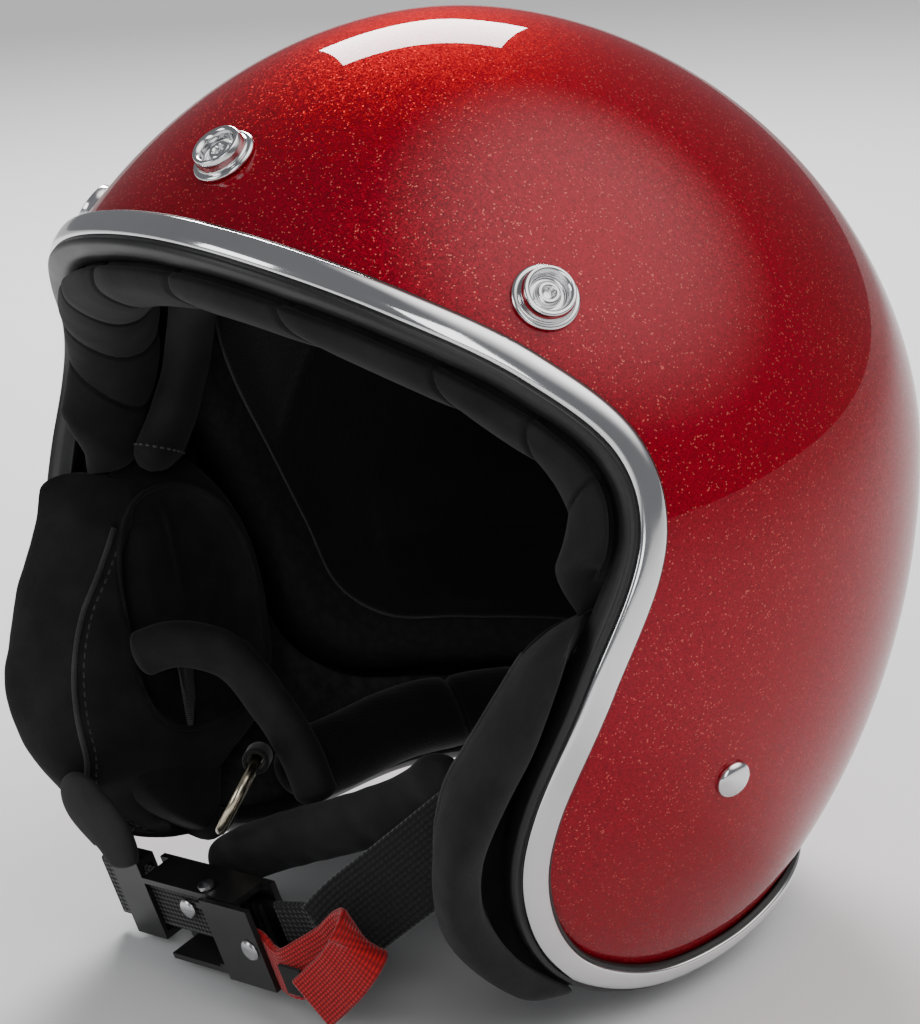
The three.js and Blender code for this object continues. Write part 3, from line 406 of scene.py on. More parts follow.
class Finish:
    """A node material with short ways to add what most finishes share."""

    def __init__(self, name, color, roughness, metallic=0.0, **sockets):
        self.material = bpy.data.materials.new(name)
        self.material.use_nodes = True
        self.nodes = self.material.node_tree.nodes
        self.links = self.material.node_tree.links
        self.shader = self.nodes["Principled BSDF"]
        self.set(**{"Base Color": (*color, 1), "Roughness": roughness, "Metallic": metallic})
        self.set(**{k.replace("_", " "): v for k, v in sockets.items()})
        self.coords = self.nodes.new("ShaderNodeTexCoord")
        self.bumped = None

    def set(self, **sockets):
        for name, value in sockets.items():
            self.shader.inputs[name].default_value = value

    def node(self, kind, inputs=(), **options):
        made = self.nodes.new("ShaderNode" + kind)
        for name, value in options.items():
            setattr(made, name, value)
        for name, value in dict(inputs).items():
            if hasattr(value, "links"):
                self.links.new(value, made.inputs[name])
            else:
                made.inputs[name].default_value = value
        return made

    def where(self, source="Object"):
        return self.coords.outputs[source]

    def noise(self, scale, detail=3.0, source="Object", roughness=0.5):
        return self.node("TexNoise", {"Vector": self.where(source), "Scale": scale,
                                      "Detail": detail, "Roughness": roughness}).outputs["Fac"]

    def ramp(self, factor, low, high, a, b):
        ramp = self.node("ValToRGB", {"Fac": factor})
        ramp.color_ramp.elements[0].position = low
        ramp.color_ramp.elements[1].position = high
        ramp.color_ramp.elements[0].color = (*a, 1) if len(a) == 3 else a
        ramp.color_ramp.elements[1].color = (*b, 1) if len(b) == 3 else b
        return ramp.outputs["Color"]

    def math(self, operation, a, b=0.0, c=0.0):
        return self.node("Math", {0: a, 1: b, 2: c}, operation=operation).outputs[0]

    def color(self, output):
        self.links.new(output, self.shader.inputs["Base Color"])

    def shaded(self, shade, fine):
        """The colour as one ramp multiplied by a finer one."""
        both = self.node("Mix", {"Factor": 1.0, "A": shade, "B": fine}, data_type="RGBA",
                         blend_type="MULTIPLY")
        self.color(both.outputs["Result"])

    def rough(self, factor, low, high):
        span = self.node("MapRange", {"Value": factor, "To Min": low, "To Max": high})
        self.links.new(span.outputs[0], self.shader.inputs["Roughness"])

    def bump(self, height, strength, distance):
        inputs = {"Height": height, "Strength": strength, "Distance": distance}
        if self.bumped is not None:
            inputs["Normal"] = self.bumped
        self.bumped = self.node("Bump", inputs).outputs["Normal"]
        self.links.new(self.bumped, self.shader.inputs["Normal"])


def paint_finish():
    f = Finish("flake_paint", (0.3, 0.004, 0.008), 0.4, 0.45, Coat_Weight=0.7,
               Coat_Roughness=0.02, Coat_IOR=1.4, Specular_IOR_Level=0.0,
               Specular_Tint=(0.6, 0.03, 0.04, 1))
    flakes = f.node("TexVoronoi", {"Vector": f.where(), "Scale": 3000.0})
    parts = f.node("SeparateColor", {"Color": flakes.outputs["Color"]})
    base = f.ramp(parts.outputs[0], 0.0, 1.0, (0.19, 0.001, 0.008), (0.36, 0.002, 0.017))
    # painted glints: a random few flakes get their base colour mixed half way to a bright orange
    painted_glint_mask = f.math("GREATER_THAN", parts.outputs[1], 0.975)
    painted_glint_flakes = f.node("Mix", {"Factor": f.math("MULTIPLY", painted_glint_mask, 0.5), "A": base,
                         "B": (0.95, 0.22, 0.16, 1)}, data_type="RGBA")
    f.color(painted_glint_flakes.outputs["Result"])
    # each flake lies at its own small tilt, so some catch the light
    lean = f.node("VectorMath", {0: flakes.outputs["Color"], 1: (0.5, 0.5, 0.5)},
                  operation="SUBTRACT")
    lean = f.node("VectorMath", {0: lean.outputs[0], "Scale": 0.42}, operation="SCALE")
    facing = f.node("NewGeometry")
    tilted = f.node("VectorMath", {0: lean.outputs[0], 1: facing.outputs["Normal"]},
                    operation="ADD")
    tilted = f.node("VectorMath", {0: tilted.outputs[0]}, operation="NORMALIZE")
    f.links.new(tilted.outputs[0], f.shader.inputs["Normal"])
    return f.material


def shell_inside_finish():
    f = Finish("shell_inside", (0.02, 0.02, 0.021), 0.8)
    weave = f.noise(260.0, 5.0)
    f.color(f.ramp(weave, 0.35, 0.7, (0.012, 0.012, 0.013), (0.035, 0.035, 0.037)))
    f.bump(weave, 0.4, 0.0005)
    return f.material


def chrome_finish(name, tone=0.62, roughness=0.06):
    f = Finish(name, (tone, tone, tone * 1.01), roughness, 1.0)
    wear = f.noise(55.0, 6.0)
    f.rough(wear, roughness * 0.7, roughness * 2.4)
    scuffs = f.noise(900.0, 2.0)
    f.color(f.ramp(wear, 0.3, 0.75, (tone * 0.93, tone * 0.93, tone * 0.94),
                   (tone * 1.03, tone * 1.03, tone * 1.05)))
    f.bump(scuffs, 0.03, 0.0001)
    return f.material


def steel_finish(name, color, roughness):
    f = Finish(name, color, roughness, 1.0)
    wear = f.noise(300.0, 5.0)
    f.rough(wear, roughness * 0.6, roughness * 1.6)
    f.color(f.ramp(f.noise(120.0, 4.0), 0.35, 0.7, tuple(c * 0.75 for c in color), color))
    f.bump(wear, 0.12, 0.0002)
    return f.material


def rubber_finish():
    f = Finish("trim_rubber", (0.008, 0.008, 0.0085), 0.38)
    grain = f.noise(900.0, 4.0)
    f.rough(f.noise(40.0, 3.0), 0.34, 0.55)
    f.color(f.ramp(grain, 0.3, 0.75, (0.005, 0.005, 0.0055), (0.011, 0.011, 0.0115)))
    f.bump(grain, 0.1, 0.0003)
    return f.material


def plastic_finish(name, tone, low, high):
    f = Finish(name, (tone, tone, tone * 1.05), high)
    grain = f.noise(1400.0, 3.0)
    f.rough(f.noise(90.0, 4.0), low, high)
    f.color(f.ramp(f.noise(70.0, 4.0), 0.35, 0.7, (tone * 0.75,) * 3,
                   (tone * 1.25, tone * 1.25, tone * 1.3)))
    f.bump(grain, 0.15, 0.0002)
    return f.material


def foam_finish():
    f = Finish("liner_foam", (0.03, 0.03, 0.031), 0.85)
    beads = f.node("TexVoronoi", {"Vector": f.where(), "Scale": 330.0})
    f.color(f.ramp(beads.outputs["Distance"], 0.1, 0.75, (0.012, 0.012, 0.0125),
                   (0.005, 0.005, 0.0055)))
    f.bump(beads.outputs["Distance"], 0.5, -0.0006)
    return f.material


def suede_finish(name, dark, light, sheen=0.35):
    """A short-nap cover: mottled by the way its nap lies, with a soft sheen."""
    f = Finish(name, light, 0.9, Sheen_Weight=sheen, Sheen_Roughness=0.45,
               Specular_IOR_Level=0.25)
    nap = f.noise(75.0, 6.0, roughness=0.6)
    fibre = f.noise(2600.0, 3.0)
    shade = f.ramp(nap, 0.3, 0.72, dark, light)
    fine = f.ramp(fibre, 0.3, 0.75, (0.62, 0.62, 0.62), (1, 1, 1))
    f.shaded(shade, fine)
    f.bump(fibre, 0.35, 0.0003)
    f.bump(nap, 0.25, 0.0012)
    return f.material


def knit_finish(name, dark, light, scale=1250.0):
    """A brushed knit: small loops in rows."""
    f = Finish(name, light, 0.95, Sheen_Weight=0.2, Sheen_Roughness=0.6,
               Specular_IOR_Level=0.15)
    loops = f.node("TexVoronoi", {"Vector": f.where(), "Scale": scale, "Randomness": 0.35})
    nap = f.noise(60.0, 5.0)
    shade = f.ramp(nap, 0.3, 0.75, dark, light)
    holes = f.ramp(loops.outputs["Distance"], 0.15, 0.75, (1, 1, 1), (0.55, 0.55, 0.55))
    f.shaded(shade, holes)
    f.bump(loops.outputs["Distance"], 0.4, -0.0004)
    return f.material


def webbing_finish(name, dark, light, pitch=1.5):
    """Woven tape, from the strip's own length and width."""
    f = Finish(name, light, 0.78, Sheen_Weight=0.25, Sheen_Roughness=0.4,
               Specular_IOR_Level=0.3)
    parts = f.node("SeparateXYZ", {"Vector": f.where("UV")})
    u, v = parts.outputs[0], parts.outputs[1]
    turn = 2 * math.pi / (pitch * MM)
    ribs = f.math("ABSOLUTE", f.math("SINE", f.math("MULTIPLY", v, turn * 0.5)))
    slant = f.math("ADD", f.math("MULTIPLY", u, turn * 0.9),
                   f.math("MULTIPLY", ribs, 1.8))
    picks = f.math("SINE", slant)
    picks = f.math("MULTIPLY_ADD", picks, 0.5, 0.5)
    weave = f.math("MULTIPLY", ribs, f.math("MULTIPLY_ADD", picks, 0.6, 0.4))
    f.color(f.ramp(weave, 0.05, 0.85, dark, light))
    f.bump(weave, 0.7, 0.0005)
    f.bump(f.noise(2500.0, 2.0), 0.2, 0.0002)
    return f.material


def thread_finish(name, color):
    f = Finish(name, color, 0.6, Sheen_Weight=0.3)
    twist = f.noise(3000.0, 2.0)
    f.color(f.ramp(twist, 0.3, 0.7, tuple(c * 0.6 for c in color), color))
    f.bump(twist, 0.4, 0.0002)
    return f.material


PAINT = paint_finish()
SHELL_INSIDE = shell_inside_finish()
CHROME = chrome_finish("trim_chrome", 0.80, 0.07)
STUD = chrome_finish("stud_chrome", 0.78, 0.09)
STEEL = steel_finish("plated_steel", (0.66, 0.66, 0.67), 0.26)
BRASS = steel_finish("ring_metal", (0.62, 0.55, 0.42), 0.22)
RUBBER = rubber_finish()
BUCKLE = plastic_finish("buckle_nylon", 0.008, 0.3, 0.46)
PLATE = plastic_finish("plate_plastic", 0.012, 0.5, 0.65)
FOAM = foam_finish()
SUEDE = suede_finish("pad_suede", (0.008, 0.008, 0.0084), (0.021, 0.021, 0.022), 0.05)
SUEDE_BROW = suede_finish("brow_suede", (0.008, 0.008, 0.0083), (0.019, 0.019, 0.02), 0.05)
KNIT = knit_finish("liner_knit", (0.0035, 0.0035, 0.0037), (0.008, 0.008, 0.0085))
KNIT_DARK = knit_finish("roll_knit", (0.003, 0.003, 0.0032), (0.007, 0.007, 0.0075))
WEBBING = webbing_finish("strap_webbing", (0.002, 0.002, 0.0022), (0.012, 0.012, 0.013))
RED_TAPE = webbing_finish("tab_tape", (0.16, 0.002, 0.004), (0.55, 0.008, 0.012), 1.1)
PATCH = webbing_finish("patch_tape", (0.003, 0.0035, 0.004), (0.014, 0.015, 0.017), 0.9)
THREAD = thread_finish("seam_thread", (0.05, 0.05, 0.052))
THREAD_DARK = thread_finish("dark_thread", (0.018, 0.018, 0.019))
PIPING = suede_finish("pad_piping", (0.028, 0.028, 0.029), (0.06, 0.06, 0.062), 0.15)


def placed(obj, body, material_slot, *nodes):
    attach(obj, body)
    if nodes:
        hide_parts(*nodes)
    return obj


def bent(obj, node):
    """A strap piece with its transform baked into its mesh, standing in for a CAD node that it
    hides.
    """
    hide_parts(node)
    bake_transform(obj)


def between(a, b, share):
    angle = np.arccos(np.clip(np.sum(a * b, -1, keepdims=True), -1, 1))
    w = (np.sin((1 - share) * angle) * a + np.sin(share * angle) * b) / np.maximum(
        np.sin(angle), 1e-9)
    return unit(w)


# ---- Shell and trim ---------------------------------------------------------------------


def domed_faces(rows, steps):
    """Faces of rings round the shell, closed at the pole by one last point."""
    top = (rows - 1) * steps
    cap = [(top + k, top + (k + 1) % steps, rows * steps) for k in range(steps)]
    return grid_faces(rows, steps) + cap


def make_shell():
    steps, rows = 320, 60
    share = np.arange(steps) / steps
    edge = unit(edge_frame(share)[0] - CENTRE)
    ways = [between(edge, POLE, (r / rows) ** 1.1) for r in range(rows)]
    outer = [on_shell(way) for way in ways]
    inner = [on_shell(way, SHELL_WALL) for way in ways[::2]]
    points = np.vstack(outer + [on_shell(POLE)[None]])
    faces = domed_faces(rows, steps)
    normals = shell_normal(points)
    if np.dot(np.cross(points[1] - points[0], points[steps] - points[0]), normals[0]) < 0:
        faces = [f[::-1] for f in faces]
    skin = mesh_object("shell_paint", points, faces, PAINT, normals=normals)
    placed(skin, "helmet", "paint", "outer_shell")
    rim = on_shell(edge)
    points = np.vstack([rim] + inner + [on_shell(POLE, SHELL_WALL)[None]])
    faces = domed_faces(len(inner) + 1, steps)
    probe = np.cross(points[steps + 1] - points[steps], points[2 * steps] - points[steps])
    if np.dot(probe, normals[0]) > 0:
        faces = [f[::-1] for f in faces]
    lining = mesh_object("shell_inner_face", points, faces, SHELL_INSIDE)
    placed(lining, "helmet", "paint")


def edge_trim(name, section, material, steps=480):
    share = np.arange(steps) / steps
    place, out, past = edge_frame(share)
    section = np.asarray(section, float)
    rings = (place[:, None] + out[:, None] * section[None, :, :1]
             + past[:, None] * section[None, :, 1:])
    return loft(name, rings, material, looped=True)


TRIM_GAP, RUBBER_WALL, TRIM_WIDTH, BEAD_DEPTH = 1.0, 1.1, 8.8, 2.2
CHROME_WIDTH, CHROME_HEIGHT = 7.2, 1.6


def make_trims():
    lip = TRIM_GAP + RUBBER_WALL
    inner = -SHELL_WALL - TRIM_GAP
    corners = [
        (0.15, -TRIM_WIDTH), (lip - 0.4, -TRIM_WIDTH), (lip, -TRIM_WIDTH + 0.4), (lip, -0.8),
        (lip + 0.6, 0.3), (lip - 0.1, BEAD_DEPTH - 0.5), (0, BEAD_DEPTH + 0.1),
        (-SHELL_WALL / 2, BEAD_DEPTH + 0.3), (inner - RUBBER_WALL * 0.7, BEAD_DEPTH - 0.2),
        (inner - RUBBER_WALL, 0.8), (inner - RUBBER_WALL, -3.3), (inner - 0.5, -3.6),
        (inner, -3.2), (inner, TRIM_GAP), (TRIM_GAP - 0.4, TRIM_GAP), (0.2, -6),
    ]
    closed = rounded([corners[-1]] + corners + [corners[0]], 0.5)[1:-1]
    rubber = edge_trim("trim_rubber", closed, RUBBER)
    placed(rubber, "helmet", "rubber", "edge_rubber")
    seat = lip - 0.1
    middle = -TRIM_WIDTH + 0.7 + CHROME_WIDTH / 2
    section = [(seat - 0.2, middle - CHROME_WIDTH / 2 + 0.2)]
    for i in range(25):
        t = math.pi * i / 24
        c, s = math.cos(t), math.sin(t)
        section.append((seat + 0.2 + CHROME_HEIGHT * abs(s) ** 0.8,
                        middle - CHROME_WIDTH / 2 * math.copysign(abs(c) ** 0.85, c)))
    section.append((seat - 0.2, middle + CHROME_WIDTH / 2 - 0.2))
    chrome = edge_trim("trim_chrome_strip", section, CHROME)
    placed(chrome, "helmet", "chrome", "edge_chrome")


# ---- Fittings on the shell --------------------------------------------------------------


def standing(azimuth, elevation):
    """The matrix of a place on the shell, with Z pointing out of it."""
    p = on_shell(bearing(float(azimuth), float(elevation)))
    z = shell_normal(p)
    x = unit(np.cross([0.0, 0.0, 1.0], z)) if abs(z[2]) < 0.999 else np.array([1.0, 0, 0])
    m = np.eye(4)
    m[:3, 0], m[:3, 1], m[:3, 2], m[:3, 3] = x, np.cross(z, x), z, p
    return m


# bearings of the visor's press studs and of the strap rivets, from the shell's middle
PRESS_STUDS = (("centre", 0, 53), ("left", 59.5, 36), ("right", -59.5, 36))
STRAP_RIVET_BEARING, STRAP_RIVET_ELEVATION = 81.7, -26.9


def make_fittings():
    for name, azimuth, elevation in PRESS_STUDS:
        seat = standing(azimuth, elevation)
        socket = rounded([
            (0, -0.4), (7.4, -0.4), (8.55, 0.1), (8.7, 0.7), (8.2, 1.25), (7.3, 1.35),
            (7.0, 1.8), (6.9, 3.6), (6.55, 4.9), (5.9, 5.05), (5.3, 4.75), (4.75, 4.0),
            (4.7, 2.0), (4.2, 1.7), (0, 1.7)], 0.3)
        obj = lathe("press_stud_" + name, socket, STUD, seat)
        placed(obj, "helmet", "chrome", "snap_socket_" + name)
        eyelet = rounded([(0, 1.0), (3.45, 1.0), (3.5, 2.2), (3.1, 3.1), (2.4, 3.45), (1.7, 3.3),
                          (1.25, 2.6), (1.15, 1.9), (0, 1.85)], 0.3)
        obj = lathe("stud_eyelet_" + name, eyelet, STUD, seat, 40)
        placed(obj, "helmet", "chrome", "snap_rivet_" + name)
    for name, side in (("left", 1), ("right", -1)):
        seat = standing(side * STRAP_RIVET_BEARING, STRAP_RIVET_ELEVATION)
        head = [(0, -0.3), (5.0, -0.3), (5.2, 0.25)]
        head += [(5.2 * math.cos(t), 0.35 + 2.5 * math.sin(t) ** 0.9)
                 for t in np.linspace(0.12, math.pi / 2 - 0.05, 9)]
        head.append((0, 2.86))
        obj = lathe("strap_rivet_head_" + name, head, STUD, seat)
        placed(obj, "helmet", "chrome", "strap_rivet_" + name)


# ---- Linings ----------------------------------------------------------------------------

EPS_OUTER, EPS_INNER = 5.8, 23.8
LINER_OUTER, LINER_INNER, CROWN_LINER_SET_BACK = 25.6, 29.1, 0.07


def make_linings():
    steps, rows = 260, 64
    edge = edge_loop(EPS_EDGE, steps)

    def rings(inset, count):
        return [on_shell(between(edge, POLE, (r / count) ** 1.15), inset) for r in range(count)]

    def shift(d, inset, more):
        p = on_shell(d, inset)
        return p - shell_normal(on_shell(d)) * np.asarray(more)[..., None]

    outer = rings(EPS_OUTER, 16)[::-1]
    inner = rings(EPS_INNER, 16)
    foam = loft("impact_foam", outer + inner, FOAM,
                caps=(on_shell(POLE, EPS_OUTER), on_shell(POLE, EPS_INNER)))
    placed(foam, "helmet", "foam", "impact_liner")

    def panels(d):
        """Seams between the liner's panels, as grooves with a little puff between them."""
        p = on_shell(d, LINER_INNER)
        lines = [np.abs(np.abs(p[:, 0]) - (34 + 0.12 * (p[:, 2] - 120))),
                 np.abs(p[:, 1] * 0.9 - 18 - (p[:, 2] - 130) * 0.42) + 12 * (np.abs(p[:, 0]) < 30),
                 np.abs(p[:, 2] - 78) + 9 * (p[:, 1] < 40)]
        near = np.minimum.reduce(lines)
        return 1.2 * bell(near, 1.6) - 2.0 * (1 - bell(near, 14))

    edge = between(edge, POLE, CROWN_LINER_SET_BACK)
    outer = rings(LINER_OUTER, 24)[::-1]
    inner = []
    for r in range(rows):
        d = between(edge, POLE, (r / rows) ** 1.15)
        rim = 1 - bell(r / rows, 0.05)
        inner.append(shift(d, LINER_INNER, -panels(d) * rim + 1.0 * (rim - 1)))
    cloth = loft("crown_fabric", outer + inner, KNIT,
                 caps=(on_shell(POLE, LINER_OUTER), on_shell(POLE, LINER_INNER + 2)))
    placed(cloth, "helmet", "lining", "crown_liner")


# ---- Rolls along the edge ---------------------------------------------------------------

TEMPLE = edge_share(127)
BROW_SLANT, BROW_STEPS, BROW_SIDES, BROW_END_STEPS = 0.0008, 420, 90, 9
BROW_TEMPLE = [(-7, -9), (-6.9, 2.8), (-4.5, 4), (-2.6, 6), (-3.8, 10.5), (-8.5, 13),
               (-15, 10.5), (-19.4, 3.5), (-19.6, -6), (-13, -11)]
BROW_MIDDLE = [(-7, -13), (-6.9, 2.6), (-4.7, 3.9), (-4, 5.5), (-7.5, 8), (-16, 7),
               (-25.5, 2.5), (-29.5, -4.5), (-27.5, -13.5), (-17, -17)]
BROW_SEAMS = (-0.84, -0.69, -0.5, -0.28, 0.0, 0.28, 0.54, 0.7, 0.84)


def towards_middle(share):
    return np.abs(np.cos(np.pi * (share - 0.5))) ** 0.8


def lerp(a, b, t):
    return a + (b - a) * t


def edge_roll(name, start, end, at, material, steps=320, sides=56, power=0.85, seams=(),
              depth=1.4, width=0.9, puff=0.5, ends=0.05, seed=3):
    """A padded roll along the edge, drawn in at its cross seams and rounded at its ends."""
    share = np.linspace(0, 1, steps)
    place, out, past = edge_frame(start + (end - start) * share)
    centre, radius = at(share)
    line = place + out * centre[0][:, None] + past * centre[1][:, None]
    length = np.sum(np.linalg.norm(np.diff(line, axis=0), axis=1))
    c, s = squared_circle(sides, power)
    size = dome(np.minimum(share, 1 - share) / ends, 0.0009)
    shape = np.full((steps, sides), puff)
    for seam in seams:
        gap = (share[:, None] - seam) * length + 3 * s[None]
        shape -= depth * bell(gap, width) + 0.4 * depth * bell(gap, 4)
    r_out = (radius[0][:, None] + shape) * size[:, None]
    r_past = (radius[1][:, None] + shape) * size[:, None]
    rings = (line[:, None] + out[:, None] * (r_out * c[None])[..., None]
             + past[:, None] * (r_past * s[None])[..., None])
    rings += 0.25 * smooth_noise(rings, 22, seed)[..., None] * out[:, None]
    return loft(name, rings, material), rings


def brow_rings():
    """The brow pad's section, swept along the edge with slanted ends."""
    share = np.linspace(0, 1, BROW_STEPS)
    weight = towards_middle(share)[:, None, None]
    corners = np.array(BROW_TEMPLE) * (1 - weight) + np.array(BROW_MIDDLE) * weight
    smooth = np.stack([catmull(np.column_stack([c, np.zeros(len(c))]), True, BROW_SIDES)[:, :2]
                       for c in corners])
    centre = smooth.mean(1, keepdims=True)
    away = smooth - centre
    size = dome(np.minimum(share, 1 - share) * BROW_STEPS / BROW_END_STEPS, 0.01)
    section = centre + away * size[:, None, None]
    half = TEMPLE - BROW_SLANT * away[..., 0]
    at = (2 * share[:, None] - 1) * half
    place, out, past = edge_frame(at)
    # creases at the seams, with a little fullness between them
    along = at / TEMPLE
    length = 0.5 * np.sum(np.linalg.norm(np.diff(place[:, 0], axis=0), axis=1))
    shape = np.full(at.shape, 0.35)
    for seam in BROW_SEAMS:
        gap = (along - seam) * length + 0.9 * np.sign(seam) * away[..., 0]
        shape -= 1.5 * bell(gap, 0.8) + 0.7 * bell(gap, 5.5)
    ways = unit(away)
    section = section + ways * (shape * size[:, None])[..., None]
    rings = place + out * section[..., :1] + past * section[..., 1:]
    return rings + 0.22 * smooth_noise(rings, 20, 4)[..., None] * out


def make_rolls():
    pad = loft("brow_cushion", brow_rings(), SUEDE_BROW)
    placed(pad, "helmet", "padding", "brow_pad")

    def headband(share):
        m = towards_middle(share)
        lobe = bell(np.minimum(share, 1 - share), 0.06)
        return ((lerp(-27.6, -38.5, m**1.2), lerp(-5.5, -22, m**1.2)),
                (5.9 + 0.5 * lobe, 8.0 + 0.8 * lobe))

    band = TEMPLE * 1.03
    pad, rings = edge_roll("headband_roll", -band, band, headband, SUEDE_BROW, ends=0.03,
                           power=0.9, puff=0.2, seed=8)
    placed(pad, "helmet", "padding", "headband_pad")
    # the stitched end of each lobe
    for name, row in (("right", 8), ("left", -9)):
        ring = rings[row]
        centre = ring.mean(0)
        line = catmull(ring[::3], True, 90)
        hem = stitches("headband_stitch_" + name, line, line - centre, THREAD, 2.2, 1.4, 0.3)
        placed(hem, "helmet", "padding")

    def nape(share):
        one = np.ones_like(share)
        return ((-17 * one, -8 * one), (9 * one, 11 * one))

    pad, _ = edge_roll("neck_cushion", 0.5 - 0.155, 0.5 + 0.155, nape, KNIT_DARK,
                           seams=(0.25, 0.75), ends=0.07, seed=5)
    placed(pad, "helmet", "lining", "neck_roll")


# ---- Cheek and ear pads -----------------------------------------------------------------

CHEEK_LEVELS = [
    (118, 80.9, -55, 102.5, -60, -28), (110, 78.7, -61.4, 102.6, -67.5, -18),
    (100, 77, -68.1, 100.4, -75.8, -14), (90, 75.6, -75, 97.7, -84, -12),
    (80, 73.1, -80.6, 94.5, -90, -12), (72, 72, -83, 92.6, -94.2, -12),
    (64, 71.3, -83.8, 90, -95.8, -12), (55, 70.7, -83.3, 87.5, -94.8, -13),
    (47, 70.4, -82.4, 85.5, -92, -16), (39, 72.3, -81.8, 84.5, -87, -20),
    (30, 77, -77, 84, -80, -26), (22, 78.5, -69, 83, -71.5, -33),
    (15, 79, -60.5, 82.5, -62, -42), (10, 80, -53, 82.5, -54, -44),
]
CHEEK_TOP_TILT, CHEEK_TILT_LEVEL = 0.5, 76.0
OUTLINE_CORNERS, SEAM_CORNER = 10, 6
WALL_START, WALL_END = SEAM_CORNER + 0.5, 9.8  # the inner wall, in corners of the outline
# the ear pocket in the inner wall: its middle along Y and Z, its half size and its rim's
POCKET_Y, POCKET_Z, POCKET_POWER = -39, 80, 2.6
POCKET_HALF, POCKET_RIM = (23, 33), (24.2, 34.6)


def half_width(y, level, inset):
    x = np.linspace(0, HALF_WIDTH, 600)
    d = np.stack([x, np.full_like(x, y), np.full_like(x, level - WIDEST_LEVEL)], 1)
    inside = np.linalg.norm(d, axis=1) < reach(unit(d), inset)
    return x[inside].max()


def edge_at(level):
    return EDGE_LINE[int(edge_share(level) * len(EDGE_LINE))]


def cheek_outline(level, seam_x, seam_y, front_x, front_y, tail):
    edge = edge_at(level)
    crease, inner = edge[0] - 11.5, seam_x - 1.5
    points = np.array([
        (half_width(tail, level, 13), tail),
        (min(half_width(edge[1] + 12, level, 13), crease + 4), edge[1] + 12),
        (crease, max(edge[1] - 1, front_y + 16)),
        (front_x + 1.5, min(edge[1] - 5.5, front_y + 9)),
        (front_x, front_y + 1),
        ((front_x + seam_x) / 2, (front_y + seam_y) / 2 - 2.5),
        (seam_x + 1.5, seam_y),
        (inner, seam_y + 9),
        (inner - 0.5, (seam_y + tail) / 2),
        (inner + 1.5, tail),
    ])
    t = np.clip((level - CHEEK_TILT_LEVEL) / (CHEEK_LEVELS[0][0] - CHEEK_TILT_LEVEL), 0, 1)
    tilt = CHEEK_TOP_TILT * t * t * (3 - 2 * t)
    rise = level + tilt * (points[:, 0] - (front_x + inner) / 2)
    return np.column_stack([points, rise])


def make_cheeks():
    sides, rows = 160, 120
    outline = np.array([cheek_outline(*row) for row in CHEEK_LEVELS])
    columns = np.stack([catmull(outline[:, i], False, rows) for i in range(outline.shape[1])], 1)
    rings = np.stack([catmull(row, True, sides) for row in columns])
    middle = rings.mean(1, keepdims=True)
    # the ends close in a dome
    t = np.linspace(0, 1, rows)
    ends = np.minimum(dome(t / 0.07, 0.01), dome((1 - t) / 0.10, 0.01))
    size = (0.3 + 0.7 * ends)[:, None, None]
    rings = middle + (rings - middle) * size
    corner = np.arange(sides) / sides * OUTLINE_CORNERS
    out = unit(rings - middle)
    # the seam between the front and the inner wall
    groove = bell(corner - SEAM_CORNER - 0.12, 0.09)
    rings = rings - out * (1.3 * groove[None] * (size[..., 0] > 0.9))[..., None]
    # the ear pocket in the inner wall, with a cushion standing in it
    y, z = rings[..., 1], rings[..., 2]
    wall = np.clip((corner - WALL_START) / 0.3, 0, 1) * np.clip((WALL_END - corner) / 0.3, 0, 1)
    across, rise = np.abs((y - POCKET_Y) / POCKET_HALF[0]), np.abs((z - POCKET_Z) / POCKET_HALF[1])
    from_middle = (across**POCKET_POWER + rise**POCKET_POWER) ** (1 / POCKET_POWER)
    hollow = 1 / (1 + np.exp((from_middle - 1) / 0.035))
    lip = bell(from_middle - 1.08, 0.07)
    stand = np.exp(-(np.abs((y + 47) / 9) ** 4)) * np.exp(-(np.abs((z - 96) / 18) ** 4))
    rings[..., 0] += wall[None] * (8.5 * hollow - 6.0 * stand * hollow - 0.7 * lip)
    rings = rings + out * (0.15 * smooth_noise(rings, 30, 11)
                           + 0.12 * smooth_noise(rings, 11, 12))[..., None]
    seam = int(round(SEAM_CORNER / OUTLINE_CORNERS * sides))
    keep = slice(int(rows * 0.05), int(rows * 0.93))
    pocket = pocket_line(rings, corner)
    for name, side in (("left", 1), ("right", -1)):
        flip = np.array([side, 1, 1])
        pad = loft("cheek_cushion_" + name, rings * flip, SUEDE)
        placed(pad, "helmet", "padding", "cheek_pad_" + name)
        line = catmull(((rings[keep, seam] + out[keep, seam] * 0.35) * flip)[::3], False, 200)
        placed(tube("cheek_welt_" + name, line, 0.75, PIPING), "helmet", "padding")
        row = stitches("cheek_stitch_" + name, rings[keep, seam + 5] * flip,
                       out[keep, seam + 5] * flip, THREAD_DARK, 2.8)
        placed(row, "helmet", "padding")
        hem = tube("ear_hem_" + name, pocket * flip, 0.9, SUEDE, closed=True)
        placed(hem, "helmet", "padding")


def pocket_line(rings, corner):
    """The rim of the ear pocket, on the inner wall."""
    c, s = squared_circle(120, 2 / POCKET_POWER)
    y, z = POCKET_Y + POCKET_RIM[0] * c, POCKET_Z + POCKET_RIM[1] * s
    inner = rings[:, (corner > WALL_START) & (corner < WALL_END)].reshape(-1, 3)
    x = [inner[np.argmin((inner[:, 1] - a) ** 2 + (inner[:, 2] - b) ** 2), 0]
         for a, b in zip(y, z)]
    x = np.convolve(np.concatenate([x[-6:], x, x[:6]]), np.ones(13) / 13, "valid")
    return np.column_stack([x + 0.2, y, z])


